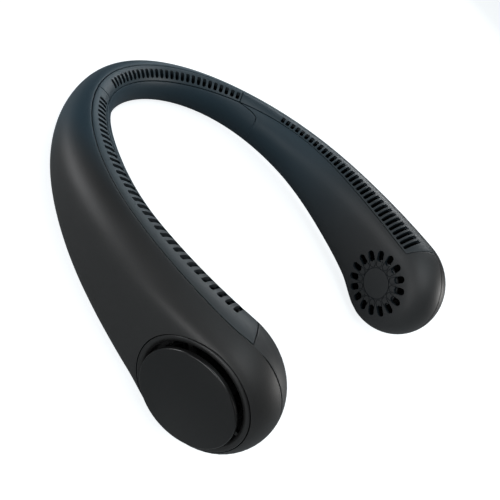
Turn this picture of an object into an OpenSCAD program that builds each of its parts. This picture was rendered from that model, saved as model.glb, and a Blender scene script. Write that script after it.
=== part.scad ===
// Neck fan with two fan pods, air strips along the top of the curve and a rechargeable pack.
// Millimetres. Stands on its pods and on the back of the curve, arms toward -Y.

/* [Part shown] */
// Sub-part drawn, or all of them

/* [Neck curve] */
// Half width of the neck curve on the line of section centres
curve_half_w = 83; // [70:0.5:95]
// Depth of the curve behind its widest line
curve_rear = 109.3; // [90:0.1:130]
// Depth that shapes the front of the curve
curve_front = 141.8; // [115:0.1:170]
// Turn of each pod toward the front, degrees
pod_toe_in = 14; // [0:0.5:25]

/* [Sections] */
// Half width of the section at the rear
rear_half_w = 9; // [8:0.1:12]
// Half width of the section at the pods
pod_half_w = 22.5; // [20:0.1:26]
// Half height of the section at the rear
rear_half_h = 11.2; // [10:0.1:14]
// Half height of the section at the pods, also the radius of the pod end
pod_half_h = 30.5; // [28:0.1:34]
// Thickness of the moulded walls
wall = 1.8; // [1.4:0.1:2.2]
// Width of the lines between moulded shells
seam_gap = 0.24; // [0.15:0.01:0.3]
// Distance of the upper shell line outside the section centre, at the pods
seam_out = 3.7; // [2:0.1:5]
// Angle of the lower shell line below the outer side, degrees
seam_low = 75; // [60:1:85]
// Length of the rear inner cover along the curve, each way from the middle
cover_len = 74; // [65:0.5:80]

/* [Air strips] */
// Length of the longest air slot
slot_len = 9.2; // [7:0.1:10]
// Width of an air slot
slot_w = 2.3; // [1.2:0.1:2.6]
// Distance of the slots inside the section centre, at the rear
slot_in = 4; // [3:0.1:5]
// Plain edge between the slots and the inner line of the strip
strip_edge = 0.8; // [0.6:0.1:1.6]
// Spacing of the slots along the left arm
left_pitch = 4.03; // [3.6:0.01:4.4]
// Spacing of the slots along the right arm
right_pitch = 3.7; // [3.4:0.01:4]
// Spacing of the slots round the rear
rear_pitch = 3.9; // [3.4:0.05:4.2]
// Place along the curve of the line between rear strip and arm strips
strip_join = 59; // [54:0.5:64]
// Plain length from that line to the first slot of the left arm
left_plain = 8.9; // [4:0.1:10]
// Plain length from that line to the first slot of the right arm
right_plain = 30.4; // [4:0.1:32]
// Number of slots in the left arm strip
left_slots = 34; // [10:1:34]
// Number of slots in the right arm strip
right_slots = 32; // [10:1:32]
// Distance of the middle of the rear slots towards the right arm
rear_shift = 5.7; // [0:0.1:6]
// Number of slots in the rear strip
rear_slots = 27; // [9:2:29]

/* [Pods] */
// Radius of the round line of the intake ring
ring_r = 24.4; // [23:0.1:25]
// Free radius inside the intake ring
ring_bore_r = 21.3; // [21:0.1:22.5]
// Height of the intake ring above the pod centre
ring_top = 12.8; // [12:0.1:14]
// Radius of the round cap
cap_r = 20.6; // [19:0.1:21.5]
// Height of the cap rim above the pod centre
cap_rim_top = 15.9; // [15:0.1:17]
// Height of the cap dome over its rim
cap_dome = 1.1; // [0.5:0.1:2]
// Height of the cap rim itself
cap_rim_h = 1.9; // [1.2:0.1:2.2]
// Outer radius reached by the grille slots
grille_r = 18.9; // [17:0.1:20]
// Inner radius reached by the open grille slots
grille_in_r = 12.5; // [12:0.1:13.5]
// Width of a grille slot
grille_w = 4; // [2:0.1:4.2]
// Number of grille slots
grille_slots = 16; // [8:1:20]

/* [Rotors] */
// Radius of the motor shaft
shaft_r = 1; // [0.8:0.05:1.2]
// Clearance round the running shaft
run_clear = 0.05; // [0.02:0.01:0.1]
// Outer radius of the ball bearings
bearing_r = 2.5; // [2:0.1:3]
// Height of one ball bearing
bearing_h = 2.3; // [1.5:0.1:2.5]
// Outer radius of the bearing tube
tube_r = 3.6; // [3.2:0.1:4]
// Outer radius of the stator
stator_r = 7.6; // [7:0.1:8]
// Outer radius of the magnet can
can_r = 9.7; // [9:0.1:10]
// Outer radius of the impeller blades
blade_r = 18.3; // [17:0.1:19]
// Inner radius of the impeller blades
blade_in_r = 13.5; // [13:0.1:14.5]
// Height of the impeller
impeller_h = 14.4; // [12:0.1:15]
// Number of blades on each side
blade_count = 18; // [9:1:24]
// Thickness of a blade
blade_t = 0.8; // [0.6:0.1:1.2]
// Thickness of the scroll wall
scroll_t = 1.2; // [1:0.1:1.6]
// Start radius of the scroll
scroll_r = 19.6; // [19:0.1:20]
// How much of the room round the scroll its widening takes
scroll_spread = 0.48; // [0.3:0.01:0.6]

/* [Power pack] */
// Radius of a cell
cell_r = 7; // [6:0.1:7.1]
// Length of a cell
cell_len = 43; // [38:0.5:44]
// Place along the curve of the middle of a cell
cell_at = 156; // [154:0.5:158]
// Depth of the cell line under the crest
cell_deep = 28.5; // [28:0.1:29]
// Place along the curve of the power button
board_at = 110; // [108:0.5:112]
// Thickness of the circuit board
board_t = 1.2; // [0.8:0.1:1.6]
// Length of the circuit board
board_len = 38; // [34:0.5:40]
// Height of the circuit board
board_h = 16; // [14:0.5:17]
// Length of the power button
button_len = 12; // [10:0.5:14]
// Width of the power button
button_w = 5.6; // [4.5:0.1:6.5]
// Height of the power button above the shell
button_proud = 0.8; // [0.6:0.1:1]
// Free space round the power button
button_gap = 0.3; // [0.3:0.05:0.4]
// Travel of the power button
button_travel = 0.5; // [0.3:0.05:0.6]
// Width of the charging socket
usb_w = 8.9; // [8.7:0.1:9.1]
// Height of the charging socket
usb_h = 3.2; // [3:0.1:3.4]
// Depth of the charging socket
usb_deep = 7.3; // [6.5:0.1:7.9]
// Radius of a light pipe
pipe_r = 1; // [0.8:0.1:1.2]
// Radius of a wire loom
loom_r = 0.9; // [0.7:0.1:1.1]
// Shank radius of the shell screws
screw_r = 0.85; // [0.7:0.05:1]

/* [Hidden] */
$fn = 48;

// Shares of the way from rear to pod, and how the section grows at each
station_shares = [0, 0.25, 0.5, 0.72, 0.88, 1];
width_shares = [0, 0.06, 0.467, 0.648, 0.844, 1];
height_shares = [0, 0.065, 0.264, 0.565, 0.782, 1];
flat_in_shares = [1.25, 1.25, 1.1, 0.95, 0.83, 0.7556];
flat_out_shares = [1.25, 1.2, 1, 0.83, 0.69, 0.6044];
seam_shares = [-0.514, -0.196, 0.162, 0.511, 0.784, 1];
slot_in_shares = [1, 0.775, 0.625, 0.575, 0.625, 0.7];
slot_len_shares = [0.359, 0.402, 0.5, 0.793, 1, 1.065];

// Corner radius of an air slot, and straight length of a grille slot
slot_round = 0.34 * slot_w;
grille_run = max(grille_w / 4, grille_r - grille_in_r - grille_w);

// Line of section centres: two quarter ellipses, the front one cut at the pod
arc_end = 90 + atan(curve_front * tan(pod_toe_in) / curve_half_w);
arc_steps = 180;
function curve_deep(phi) = phi < 90 ? curve_rear : curve_front;
function curve_xy(phi) = [curve_half_w * sin(phi), curve_deep(phi) * cos(phi)];
function step_phi(k) = arc_end * k / arc_steps;
arc_table = [for (k = 0, run = 0; k <= arc_steps; k = k + 1, run = run + norm(curve_xy(step_phi(k)) - curve_xy(step_phi(k - 1)))) [run, step_phi(k)]];
pod_at = arc_table[arc_steps][0];
function phi_at(s) = lookup(min(s, pod_at), arc_table);
function out_dir(s) = let (p = phi_at(s), v = [curve_deep(p) * sin(p), curve_half_w * cos(p)]) v / norm(v);
function centre_xy(s) = let (n = out_dir(s)) curve_xy(phi_at(s)) + max(s - pod_at, 0) * [n[1], -n[0]];

// Smooth value between the listed shares
function knot(t, i = 0) = i >= len(station_shares) - 2 || t < station_shares[i + 1] ? i : knot(t, i + 1);
function knot_slope(v, i) = i == 0 || i == len(v) - 1 ? 0 : (v[i + 1] - v[i - 1]) / (station_shares[i + 1] - station_shares[i - 1]);
function smooth_at(v, s) =
    let (t = min(abs(s), pod_at) / pod_at, i = knot(t), h = station_shares[i + 1] - station_shares[i], q = (t - station_shares[i]) / h)
    v[i] * (1 + 2 * q) * (1 - q) * (1 - q) + knot_slope(v, i) * h * q * (1 - q) * (1 - q)
    + v[i + 1] * q * q * (3 - 2 * q) - knot_slope(v, i + 1) * h * q * q * (1 - q);

function half_w(s) = rear_half_w + (pod_half_w - rear_half_w) * smooth_at(width_shares, s);
function half_h(s) = rear_half_h + (pod_half_h - rear_half_h) * smooth_at(height_shares, s);
function flat_w(s, outward) = half_w(s) * smooth_at(outward ? flat_out_shares : flat_in_shares, s);
function seam_u(s) = seam_out * smooth_at(seam_shares, s);
function slot_u(s) = slot_in * smooth_at(slot_in_shares, s);
function slot_l(s) = slot_len * smooth_at(slot_len_shares, s);
function strip_u(s) = slot_u(s) + slot_l(s) + strip_edge;

// Point beside the curve: side 1 is right, u runs outward, z up from the crest plane
function beside(side, s, u, z) = let (c = centre_xy(s), n = out_dir(s)) [side * (c[0] + n[0] * u), c[1] + n[1] * u, z];

// Point on the moulded skin, inset below the outer face; places past the pod centre close the end
function turn_of(s) = s > pod_at ? asin(min(1, (s - pod_at) / pod_half_h)) : 0;
function soft_in(x) = x / pow(1 + pow(x, 10), 1 / 10);
function side_u(s, w, f) = w >= 0 ? f[0] * soft_in(w / f[0]) : -f[1] * soft_in(-w / f[1]);
function skin_u(s, k, angle, inset) =
    side_u(s, (half_w(s) - inset) * k * cos(angle), [flat_w(s, true) - inset, flat_w(s, false) - inset]);
function skin_at(side, s, angle, inset, shift) =
    let (turn = turn_of(s), k = cos(turn), base = min(s, pod_at))
    beside(side, base + (turn > 0 ? (pod_half_h - inset) * sin(turn) : 0),
           k < 0.001 ? shift : skin_u(base, k, angle, inset),
           (half_h(base) - inset) * k * sin(angle) - half_h(base));
// Side reached by the skin at a height: way 1 outward, -1 inward
function reach(s, z, inset, way) =
    let (q = (z + half_h(s)) / (half_h(s) - inset), w = (half_w(s) - inset) * sqrt(max(0, 1 - q * q)))
    side_u(s, way * w, [flat_w(s, true) - inset, flat_w(s, false) - inset]);

// Edge angles of the moulded pieces
function edge_turn(s, angle) =
    let (b = min(s, pod_at), r = max(cos(turn_of(s)), 0.001) * norm([half_w(b) * sin(angle), half_h(b) * cos(angle)]))
    asin(min(1, seam_gap / 2 / r));
function seam_top(s) = let (b = min(s, pod_at), a = acos(seam_u(b) / half_w(b))) a + (90 - a) * sin(turn_of(s));
function seam_bottom(s) = -seam_low - (90 - seam_low) * sin(turn_of(s));
function strip_side(s) = let (b = min(s, pod_at)) acos(-min(0.95, strip_u(b) / half_w(b)));

// Places along the curve where the moulded rings stand
end_turns = [14, 27, 40, 52, 64, 76, 90];
end_rows = [for (t = end_turns) pod_at + pod_half_h * sin(t)];
function even(from, to, count) = [for (i = [0:count]) from + (to - from) * i / count];
strip_lead = 0.2 * pod_half_h;
function lead_at(f) = pod_at + strip_lead * (1 - f);

// Angles across a ring between two edges, with the half gap taken off each edge
function across(from, to, count) = [for (m = [0:count]) from + (to - from) * m / count];
function outer_angles(s) = let (a = seam_bottom(s), b = seam_top(s)) across(a + edge_turn(s, a), b - edge_turn(s, b), 14);
function strip_angles(s) = let (a = seam_top(s), b = strip_side(s)) across(a + edge_turn(s, a), b - edge_turn(s, b), 4);
function low_angles(s) = let (a = strip_side(s), b = 360 + seam_bottom(s)) across(a + edge_turn(s, a), b - edge_turn(s, b), 11);
function rim_angles(s) =
    let (a = seam_top(s), b = strip_side(s), from = a + edge_turn(s, a), to = b + edge_turn(s, b))
    [for (m = [0:3]) from + (to - from) * m / 4];

outer_rows = [for (i = [-29:29]) let (j = abs(i), s = j <= 22 ? pod_at * j / 22 : end_rows[j - 23]) [i < 0 ? -1 : 1, s]];
function outer_grid(inset) = [for (r = outer_rows) [for (a = outer_angles(r[1])) skin_at(r[0], r[1], a, inset, seam_gap / 2)]];

inner_rows = concat(even(cover_len + seam_gap / 2, pod_at - 0.15 * pod_half_h, 16), [pod_at + seam_gap / 2], end_rows);
inner_start = 17;
function inner_row(s, lead) = concat([for (m = [0:3]) lead ? lead_at(m / 4) + seam_gap / 2 : s], [for (m = [0:11]) s]);
function inner_grid(inset) = [for (k = [0:len(inner_rows) - 1])
    let (s = inner_rows[k], row = inner_row(s, k == inner_start), a = concat(rim_angles(s), low_angles(s)))
    [for (m = [0:15]) skin_at(1, row[m], a[m], inset, -seam_gap / 2)]];

cover_rows = even(-cover_len + seam_gap / 2, cover_len - seam_gap / 2, 20);
function cover_grid(inset) = [for (s = cover_rows) [for (a = low_angles(abs(s))) skin_at(s < 0 ? -1 : 1, abs(s), a, inset, 0)]];

arm_strip_rows = even(strip_join + seam_gap / 2, pod_at - 0.2 * pod_half_h, 20);
function arm_strip_grid(inset) = concat(
    [for (s = arm_strip_rows) [for (a = strip_angles(s)) skin_at(1, s, a, inset, 0)]],
    [[for (m = [0:4]) skin_at(1, lead_at(m / 4) - seam_gap / 2, strip_angles(pod_at)[m], inset, 0)]]);
rear_strip_rows = even(-strip_join + seam_gap / 2, strip_join - seam_gap / 2, 16);
function rear_strip_grid(inset) = [for (s = rear_strip_rows) [for (a = strip_angles(abs(s))) skin_at(s < 0 ? -1 : 1, abs(s), a, inset, 0)]];

// Faces of a closed skin piece; cells left of split exist from row start on, a tip row is one point
function skin_faces(rows, cols, start, split, tip_a, tip_b) =
    let (last = rows - 1, half = rows * cols)
    [for (k = [0:last - 1]) for (m = [0:cols - 2]) if (m >= split || k >= start)
        let (p = k * cols + (tip_a && k == 0 ? 0 : m), q = k * cols + (tip_a && k == 0 ? 0 : m + 1),
             r = (k + 1) * cols + (tip_b && k == last - 1 ? 0 : m), t = (k + 1) * cols + (tip_b && k == last - 1 ? 0 : m + 1))
        each concat(
            r == t ? [] : [[p, r, t], [p + half, t + half, r + half]],
            p == q ? [] : [[p, t, q], [p + half, q + half, t + half]],
            p != q && (k == 0 || (m < split && k == start)) ? [[p, q, q + half], [p, q + half, p + half]] : [],
            r != t && k == last - 1 ? [[t, r, r + half], [t, r + half, t + half]] : [],
            m == 0 || (m == split && k < start) ? [[r, p, p + half], [r, p + half, r + half]] : [],
            m == cols - 2 ? [[q, t, t + half], [q, t + half, q + half]] : [])];
module skin(outside, inside, start, split, tip_a, tip_b) {
    polyhedron(points = concat([for (r = outside) each r], [for (r = inside) each r]),
               faces = skin_faces(len(outside), len(outside[0]), start, split, tip_a, tip_b), convexity = 10);
}

// Resting attitude: pods and the back of the curve on the floor
flat_points = concat([for (r = outer_grid(0)) each r], [for (r = inner_grid(0)) each r], [for (r = cover_grid(0)) each r]);
front_points = [for (r = inner_grid(0)) each r];
back_points = [for (r = cover_grid(0)) each r];
function low_of(points, t) = min([for (p = points) p[2] * cos(t) - p[1] * sin(t)]);
function better_tilt(t) = t - atan((low_of(front_points, t) - low_of(back_points, t)) / (curve_rear + curve_half_w));
stand_tilt = better_tilt(better_tilt(better_tilt(better_tilt(12))));
stand_low = low_of(flat_points, stand_tilt);
stand_run = [for (p = flat_points) p[1] * cos(stand_tilt) + p[2] * sin(stand_tilt)];
stand_mid = (min(stand_run) + max(stand_run)) / 2;
module stand() {
    translate([0, -stand_mid, -stand_low])
    rotate([-stand_tilt, 0, 0])
    children();
}

// Frames of the two sides, of a place along the curve, and of a pod (z outward, y to the rear)
module sided(side) {
    if (side > 0) children();
    else mirror([1, 0, 0]) children();
}
module at_arm(side, s) {
    sided(side)
    translate([centre_xy(s)[0], centre_xy(s)[1], 0])
    rotate([0, 0, atan2(out_dir(s)[1], out_dir(s)[0])])
    children();
}
module at_pod(side) {
    at_arm(side, pod_at)
    translate([0, 0, -pod_half_h])
    rotate([0, 90, 0])
    children();
}
module tube(r_out, r_in, from, to) {
    translate([0, 0, from])
    difference() {
        cylinder(r = r_out, h = to - from);
        translate([0, 0, -wall]) cylinder(r = r_in, h = to - from + 2 * wall);
    }
}

// Tube swept along a list of points that never runs straight up
function unit(v) = v / norm(v);
function bead(points, i) = let (a = points[max(i - 1, 0)], b = points[min(i + 1, len(points) - 1)], t = unit(b - a), u = unit(cross(t, [0, 0, 1])), v = cross(u, t))
    [for (k = [0:5]) points[i] + loom_r * (cos(60 * k) * u + sin(60 * k) * v)];
module swept(points) {
    n = len(points);
    side_faces = [for (i = [0:n - 2]) for (k = [0:5]) let (a = i * 6 + k, b = i * 6 + (k + 1) % 6) each [[a, a + 6, b + 6], [a, b + 6, b]]];
    end_faces = [[0, 1, 2, 3, 4, 5], [for (k = [5:-1:0]) (n - 1) * 6 + k]];
    polyhedron(points = [for (i = [0:n - 1]) each bead(points, i)], faces = concat(side_faces, end_faces), convexity = 10);
}

// Heights along a pod axis
seat_gap = seam_gap;
plate_t = 2 * wall / 3;
plate_low = -(flat_w(pod_at, false) - wall - 2 * seat_gap);
plate_top = plate_low + plate_t;
imp_low = -0.57 * impeller_h;
imp_top = imp_low + impeller_h;
web_low = imp_low + 0.45 * impeller_h;
web_top = web_low + 1.5 * blade_t;
can_low = web_low - 0.7 * impeller_h;
can_cap_low = web_low - 1.2 * blade_t;
boss_low = can_cap_low - 1.8 * blade_t;
tube_top = boss_low - button_gap;
bearing_low = plate_top + button_gap;
bearing_high = tube_top - bearing_h;
magnet_in_r = can_r - wall;
flange_low = imp_top + blade_t;
flange_r = ring_r + 0.85 * wall;
spider_low = ring_top - 1.8 * wall;
stem_r = 3 * shaft_r;

// Places of the screws of the moulded shells and of the things on the circuit board
screw_shares = [0.192, 0.404, 0.62];
screw_spots = [for (q = screw_shares) for (side = [1, -1]) [side, q * pod_at]];
function spot_low(q) = -2 * half_h(q[1]);
pad_r = 1.5 * wall;
block_w = 2.9 * wall;
board_u = 2.1 * wall;
board_out = board_u + board_t;
board_mid_z = -half_h(board_at) - 0.6 * wall;
function on_board(s, u) = let (d = centre_xy(s) + out_dir(s) * u - centre_xy(board_at), n = out_dir(board_at)) [d * n, d * [-n[1], n[0]]];
button_z = -half_h(board_at);
button_face = reach(board_at, button_z, 0, 1);
flange_in = button_face - 1.9 * wall - button_gap / 3;
switch_h = 1.9 * wall;
plunger_r = 1.7 * shaft_r;
pipe_spots = [board_at + 0.8 * button_len, board_at + 1.05 * button_len, board_at + 1.3 * button_len];
usb_at = board_at - 0.92 * button_len;
usb_y = on_board(usb_at, board_out)[1];
usb_x = board_out + usb_h / 2;
usb_low = -half_h(usb_at) - half_h(usb_at) * sqrt(1 - pow((usb_x + usb_h) / half_w(usb_at), 2)) + wall / 3;
post_spots = [board_at + 0.42 * board_len, board_at - 0.4 * board_len];
post_z = board_mid_z + 0.3 * board_h;

module slot_cutter(s) {
    h = half_h(s) / 2 + 3 * wall;
    l = slot_l(s);
    translate([-slot_u(s) - l, -slot_w / 2, -half_h(s) / 2 - 2 * wall])
    union() {
        translate([slot_round, 0, 0]) cube([l - 2 * slot_round, slot_w, h]);
        translate([0, slot_round, 0]) cube([l, slot_w - 2 * slot_round, h]);
        for (x = [slot_round, l - slot_round])
            for (y = [slot_round, slot_w - slot_round])
                translate([x, y, 0]) cylinder(r = slot_round, h = h, $fn = 24);
    }
}
module pill(l, w, h) {
    translate([-w / 2, -(l - w) / 2, 0]) cube([w, l - w, h]);
    translate([0, (l - w) / 2, 0]) cylinder(r = w / 2, h = h);
    translate([0, -(l - w) / 2, 0]) cylinder(r = w / 2, h = h);
}
module along_x(x, y, z) {
    translate([x, y, z]) rotate([0, 90, 0]) children();
}

module outer_shell() {
    color([0.17, 0.17, 0.18])
    stand()
    difference() {
        union() {
            skin(outer_grid(0), outer_grid(wall), 0, 0, true, true);
            for (q = screw_spots) at_arm(q[0], q[1])
                translate([-1.25 * wall, -block_w / 2, spot_low(q) + 1.9 * wall])
                cube([1.25 * wall + reach(q[1], spot_low(q) + 2.4 * wall, wall, 1) + wall / 3, block_w, 2 * wall]);
            for (p = post_spots) at_arm(1, board_at)
                along_x(board_out, on_board(p, 0)[1], post_z)
                cylinder(r = 1.2 * wall, h = on_board(p, reach(p, post_z, wall / 2, 1))[0] - board_out);
        }
        for (side = [1, -1]) at_pod(side) rotate([0, 0, 20]) cylinder(r = ring_r + seam_gap / 2, h = pod_half_h);
        for (q = screw_spots) at_arm(q[0], q[1]) translate([0, 0, spot_low(q) + wall]) cylinder(r = screw_r, h = 2.7 * wall);
        at_arm(1, board_at) along_x(button_face - 3 * wall, 0, button_z)
            pill(button_len + 2 * button_gap, button_w + 2 * button_gap, 5 * wall);
        for (p = pipe_spots) at_arm(1, board_at) along_x(board_out + 3 * wall, on_board(p, 0)[1], button_z)
            cylinder(r = pipe_r + 2 * run_clear, h = pod_half_w);
        at_arm(1, board_at) translate([usb_x, usb_y, usb_low - 3 * wall]) pill(usb_w + seam_gap, usb_h + seam_gap, 5 * wall);
        for (p = post_spots) at_arm(1, board_at) along_x(board_out - wall, on_board(p, 0)[1], post_z) cylinder(r = screw_r, h = 3.2 * wall);
    }
}

module inner_shell(side) {
    difference() {
        union() {
            sided(side) skin(inner_grid(0), inner_grid(wall), inner_start, 4, false, true);
            for (q = screw_spots) if (q[0] == side && q[1] > cover_len) at_arm(side, q[1])
                translate([0, 0, spot_low(q) + wall / 2]) cylinder(r = pad_r, h = 1.28 * wall);
        }
        for (q = screw_spots) if (q[0] == side && q[1] > cover_len) at_arm(side, q[1]) screw_room(q);
        at_pod(side)
            for (i = [0:grille_slots - 1]) rotate([0, 0, 360 * (i + 0.5) / grille_slots])
            translate([grille_in_r + grille_w / 2, 0, -pod_half_w])
            union() {
                translate([0, -grille_w / 2, 0]) cube([grille_run, grille_w, pod_half_w / 2]);
                cylinder(r = grille_w / 2, h = pod_half_w / 2, $fn = 24);
                translate([grille_run, 0, 0]) cylinder(r = grille_w / 2, h = pod_half_w / 2, $fn = 24);
            }
    }
}
module screw_room(q) {
    translate([0, 0, spot_low(q) - wall]) cylinder(r = 2.1 * screw_r + run_clear, h = wall + 0.8 * wall);
    translate([0, 0, spot_low(q) - wall]) cylinder(r = screw_r + 2 * run_clear, h = 4 * wall);
}
module right_inner_shell() {
    color([0.3, 0.31, 0.32]) stand() inner_shell(1);
}
module left_inner_shell() {
    color([0.3, 0.31, 0.32]) stand() inner_shell(-1);
}
module rear_inner_cover() {
    color([0.3, 0.31, 0.33])
    stand()
    difference() {
        union() {
            skin(cover_grid(0), cover_grid(wall), 0, 0, false, false);
            for (q = screw_spots) if (q[1] < cover_len) at_arm(q[0], q[1])
                translate([0, 0, spot_low(q) + wall / 2]) cylinder(r = pad_r, h = 1.28 * wall);
        }
        for (q = screw_spots) if (q[1] < cover_len) at_arm(q[0], q[1]) screw_room(q);
    }
}

module arm_strip(side) {
    difference() {
        sided(side) skin(arm_strip_grid(0), arm_strip_grid(wall), 0, 0, false, false);
        for (i = [0:(side > 0 ? right_slots : left_slots) - 1])
            let (s = strip_join + (side > 0 ? right_plain + i * right_pitch : left_plain + i * left_pitch)) at_arm(side, s) slot_cutter(s);
    }
}
module right_vent_strip() {
    color([0.35, 0.38, 0.4]) stand() arm_strip(1);
}
module left_vent_strip() {
    color([0.35, 0.38, 0.4]) stand() arm_strip(-1);
}
module rear_vent_strip() {
    color([0.35, 0.38, 0.4])
    stand()
    difference() {
        skin(rear_strip_grid(0), rear_strip_grid(wall), 0, 0, false, false);
        for (i = [0:rear_slots - 1]) let (s = rear_shift + (i - (rear_slots - 1) / 2) * rear_pitch)
            at_arm(s < 0 ? -1 : 1, abs(s)) slot_cutter(abs(s));
    }
}

module intake_ring() {
    rotate_extrude($fn = 96)
        polygon([[ring_bore_r, flange_low], [flange_r, flange_low], [flange_r, flange_low + 0.7 * wall],
                 [ring_r + wall / 4, flange_low + 1.3 * wall], [ring_r - seam_gap / 2, flange_low + 1.6 * wall],
                 [ring_r - seam_gap / 2, ring_top], [ring_bore_r + 0.8 * wall, ring_top], [ring_bore_r, ring_top - 0.8 * wall]]);
    for (i = [0:2]) rotate([0, 0, 120 * i + 30])
        translate([stem_r, -wall / 2, spider_low]) cube([ring_bore_r - stem_r + wall / 6, wall, wall]);
    tube(2 * stem_r - wall / 2, screw_r + 2 * run_clear, spider_low, spider_low + wall);
    tube(2 * stem_r - wall / 2, stem_r + run_clear, spider_low + wall, spider_low + 2 * wall);
}
module right_intake_ring() {
    color([0.24, 0.24, 0.25]) stand() at_pod(1) intake_ring();
}
module left_intake_ring() {
    color([0.24, 0.24, 0.25]) stand() at_pod(-1) intake_ring();
}

module cap() {
    cap_low = cap_rim_top - cap_rim_h;
    stem_low = spider_low + wall;
    rotate_extrude($fn = 96)
        polygon(concat(
            [[0, stem_low + wall], [screw_r, stem_low + wall], [screw_r, stem_low], [stem_r, stem_low], [stem_r, cap_low]],
            [[stem_r + wall, cap_low], [stem_r + wall, cap_low + wall / 2], [cap_r - wall, cap_low + wall / 2], [cap_r - wall, cap_low]],
            [[cap_r - wall / 6, cap_low], [cap_r, cap_low + wall / 6], [cap_r, cap_rim_top - wall / 4]],
            [for (f = [1:-0.125:0]) [(cap_r - wall / 4) * f, cap_rim_top + cap_dome * (1 - f * f)]]));
}
module right_cap() {
    color([0.27, 0.27, 0.28]) stand() at_pod(1) cap();
}
module left_cap() {
    color([0.27, 0.27, 0.28]) stand() at_pod(-1) cap();
}

module motor_plate() {
    difference() {
        union() {
            translate([0, 0, plate_low]) cylinder(r = 1.35 * can_r, h = plate_t);
            translate([0, 0, plate_low]) cylinder(r = tube_r, h = tube_top - plate_low);
        }
        translate([0, 0, plate_top]) cylinder(r = bearing_r + run_clear, h = impeller_h);
        for (i = [0:2]) rotate([0, 0, 120 * i]) translate([0.76 * can_r, 0, plate_low - wall]) cylinder(r = screw_r, h = 3 * wall);
    }
}
module right_motor_plate() {
    color([0.5, 0.51, 0.52]) stand() at_pod(1) motor_plate();
}
module left_motor_plate() {
    color([0.5, 0.51, 0.52]) stand() at_pod(-1) motor_plate();
}

module bearings() {
    for (z = [bearing_low, bearing_high]) tube(bearing_r, shaft_r + run_clear, z, z + bearing_h);
}
module right_bearings() {
    color([0.75, 0.76, 0.78]) stand() at_pod(1) bearings();
}
module left_bearings() {
    color([0.75, 0.76, 0.78]) stand() at_pod(-1) bearings();
}

module stator() {
    difference() {
        union() {
            tube(tube_r + wall, tube_r + run_clear, can_low + wall, tube_top - wall / 3);
            for (i = [0:8]) rotate([0, 0, 40 * i]) {
                translate([tube_r + wall / 2, -wall / 3, can_low + 1.3 * wall]) cube([stator_r - tube_r - wall, 2 * wall / 3, tube_top - can_low - 2.2 * wall]);
                translate([tube_r + 1.2 * wall, -wall / 2, can_low + wall]) cube([stator_r - tube_r - 1.9 * wall, wall, tube_top - can_low - 1.5 * wall]);
            }
            for (i = [0:8]) rotate([0, 0, 40 * i]) translate([stator_r - wall, -1.1 * wall, can_low + 1.3 * wall]) cube([0.8 * wall, 2.2 * wall, tube_top - can_low - 2.2 * wall]);
        }
        tube(2 * stator_r, stator_r, can_low - wall, tube_top + wall);
    }
}
module right_stator() {
    color([0.72, 0.42, 0.2]) stand() at_pod(1) stator();
}
module left_stator() {
    color([0.72, 0.42, 0.2]) stand() at_pod(-1) stator();
}

module magnet_can() {
    tube(can_r, magnet_in_r, can_low, web_low);
    tube(magnet_in_r + wall / 6, shaft_r, can_cap_low, web_low);
    tube(2.4 * shaft_r, shaft_r, boss_low, web_low);
}
module right_magnet_can() {
    color([0.6, 0.61, 0.63]) stand() at_pod(1) magnet_can();
}
module left_magnet_can() {
    color([0.6, 0.61, 0.63]) stand() at_pod(-1) magnet_can();
}

module shaft() {
    translate([0, 0, bearing_low - button_gap / 3]) cylinder(r = shaft_r, h = web_top - bearing_low);
}
module right_shaft() {
    color([0.8, 0.8, 0.82]) stand() at_pod(1) shaft();
}
module left_shaft() {
    color([0.8, 0.8, 0.82]) stand() at_pod(-1) shaft();
}

module impeller() {
    tube(blade_r, shaft_r, web_low, web_top);
    tube(can_r + 1.5 * blade_t, can_r, can_low, web_low + blade_t);
    tube(blade_r, blade_r - 1.2 * blade_t, imp_low, imp_low + blade_t);
    tube(blade_r, blade_r - 1.2 * blade_t, imp_top - blade_t, imp_top);
    for (i = [0:blade_count - 1]) rotate([0, 0, 360 * i / blade_count])
        translate([blade_in_r, 0, imp_low])
        rotate([0, 0, 25])
        cube([0.95 * (blade_r - blade_in_r), blade_t, impeller_h]);
}
module right_impeller() {
    color([0.85, 0.86, 0.87]) stand() at_pod(1) impeller();
}
module left_impeller() {
    color([0.85, 0.86, 0.87]) stand() at_pod(-1) impeller();
}

// Spiral wall round the impeller, open toward the arm
scroll_grow = scroll_spread * (pod_half_h - wall - scroll_r - 1.3 * scroll_t);
function spiral(a, extra) = let (r = scroll_r + extra + scroll_grow * a / 300) [r * cos(a + 130), r * sin(a + 130)];
module scroll() {
    translate([0, 0, imp_low - blade_t])
    linear_extrude(height = flange_low - imp_low)
        polygon(concat([for (a = [0:12:300]) spiral(a, 0)], [for (a = [300:-12:0]) spiral(a, scroll_t)]));
    tube(scroll_r + scroll_grow + 1.3 * scroll_t, scroll_r - 0.8 * blade_t, flange_low - 1.2 * blade_t, flange_low);
}
module right_scroll() {
    color([0.2, 0.2, 0.21]) stand() at_pod(1) scroll();
}
module left_scroll() {
    color([0.2, 0.2, 0.21]) stand() at_pod(-1) scroll();
}

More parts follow.
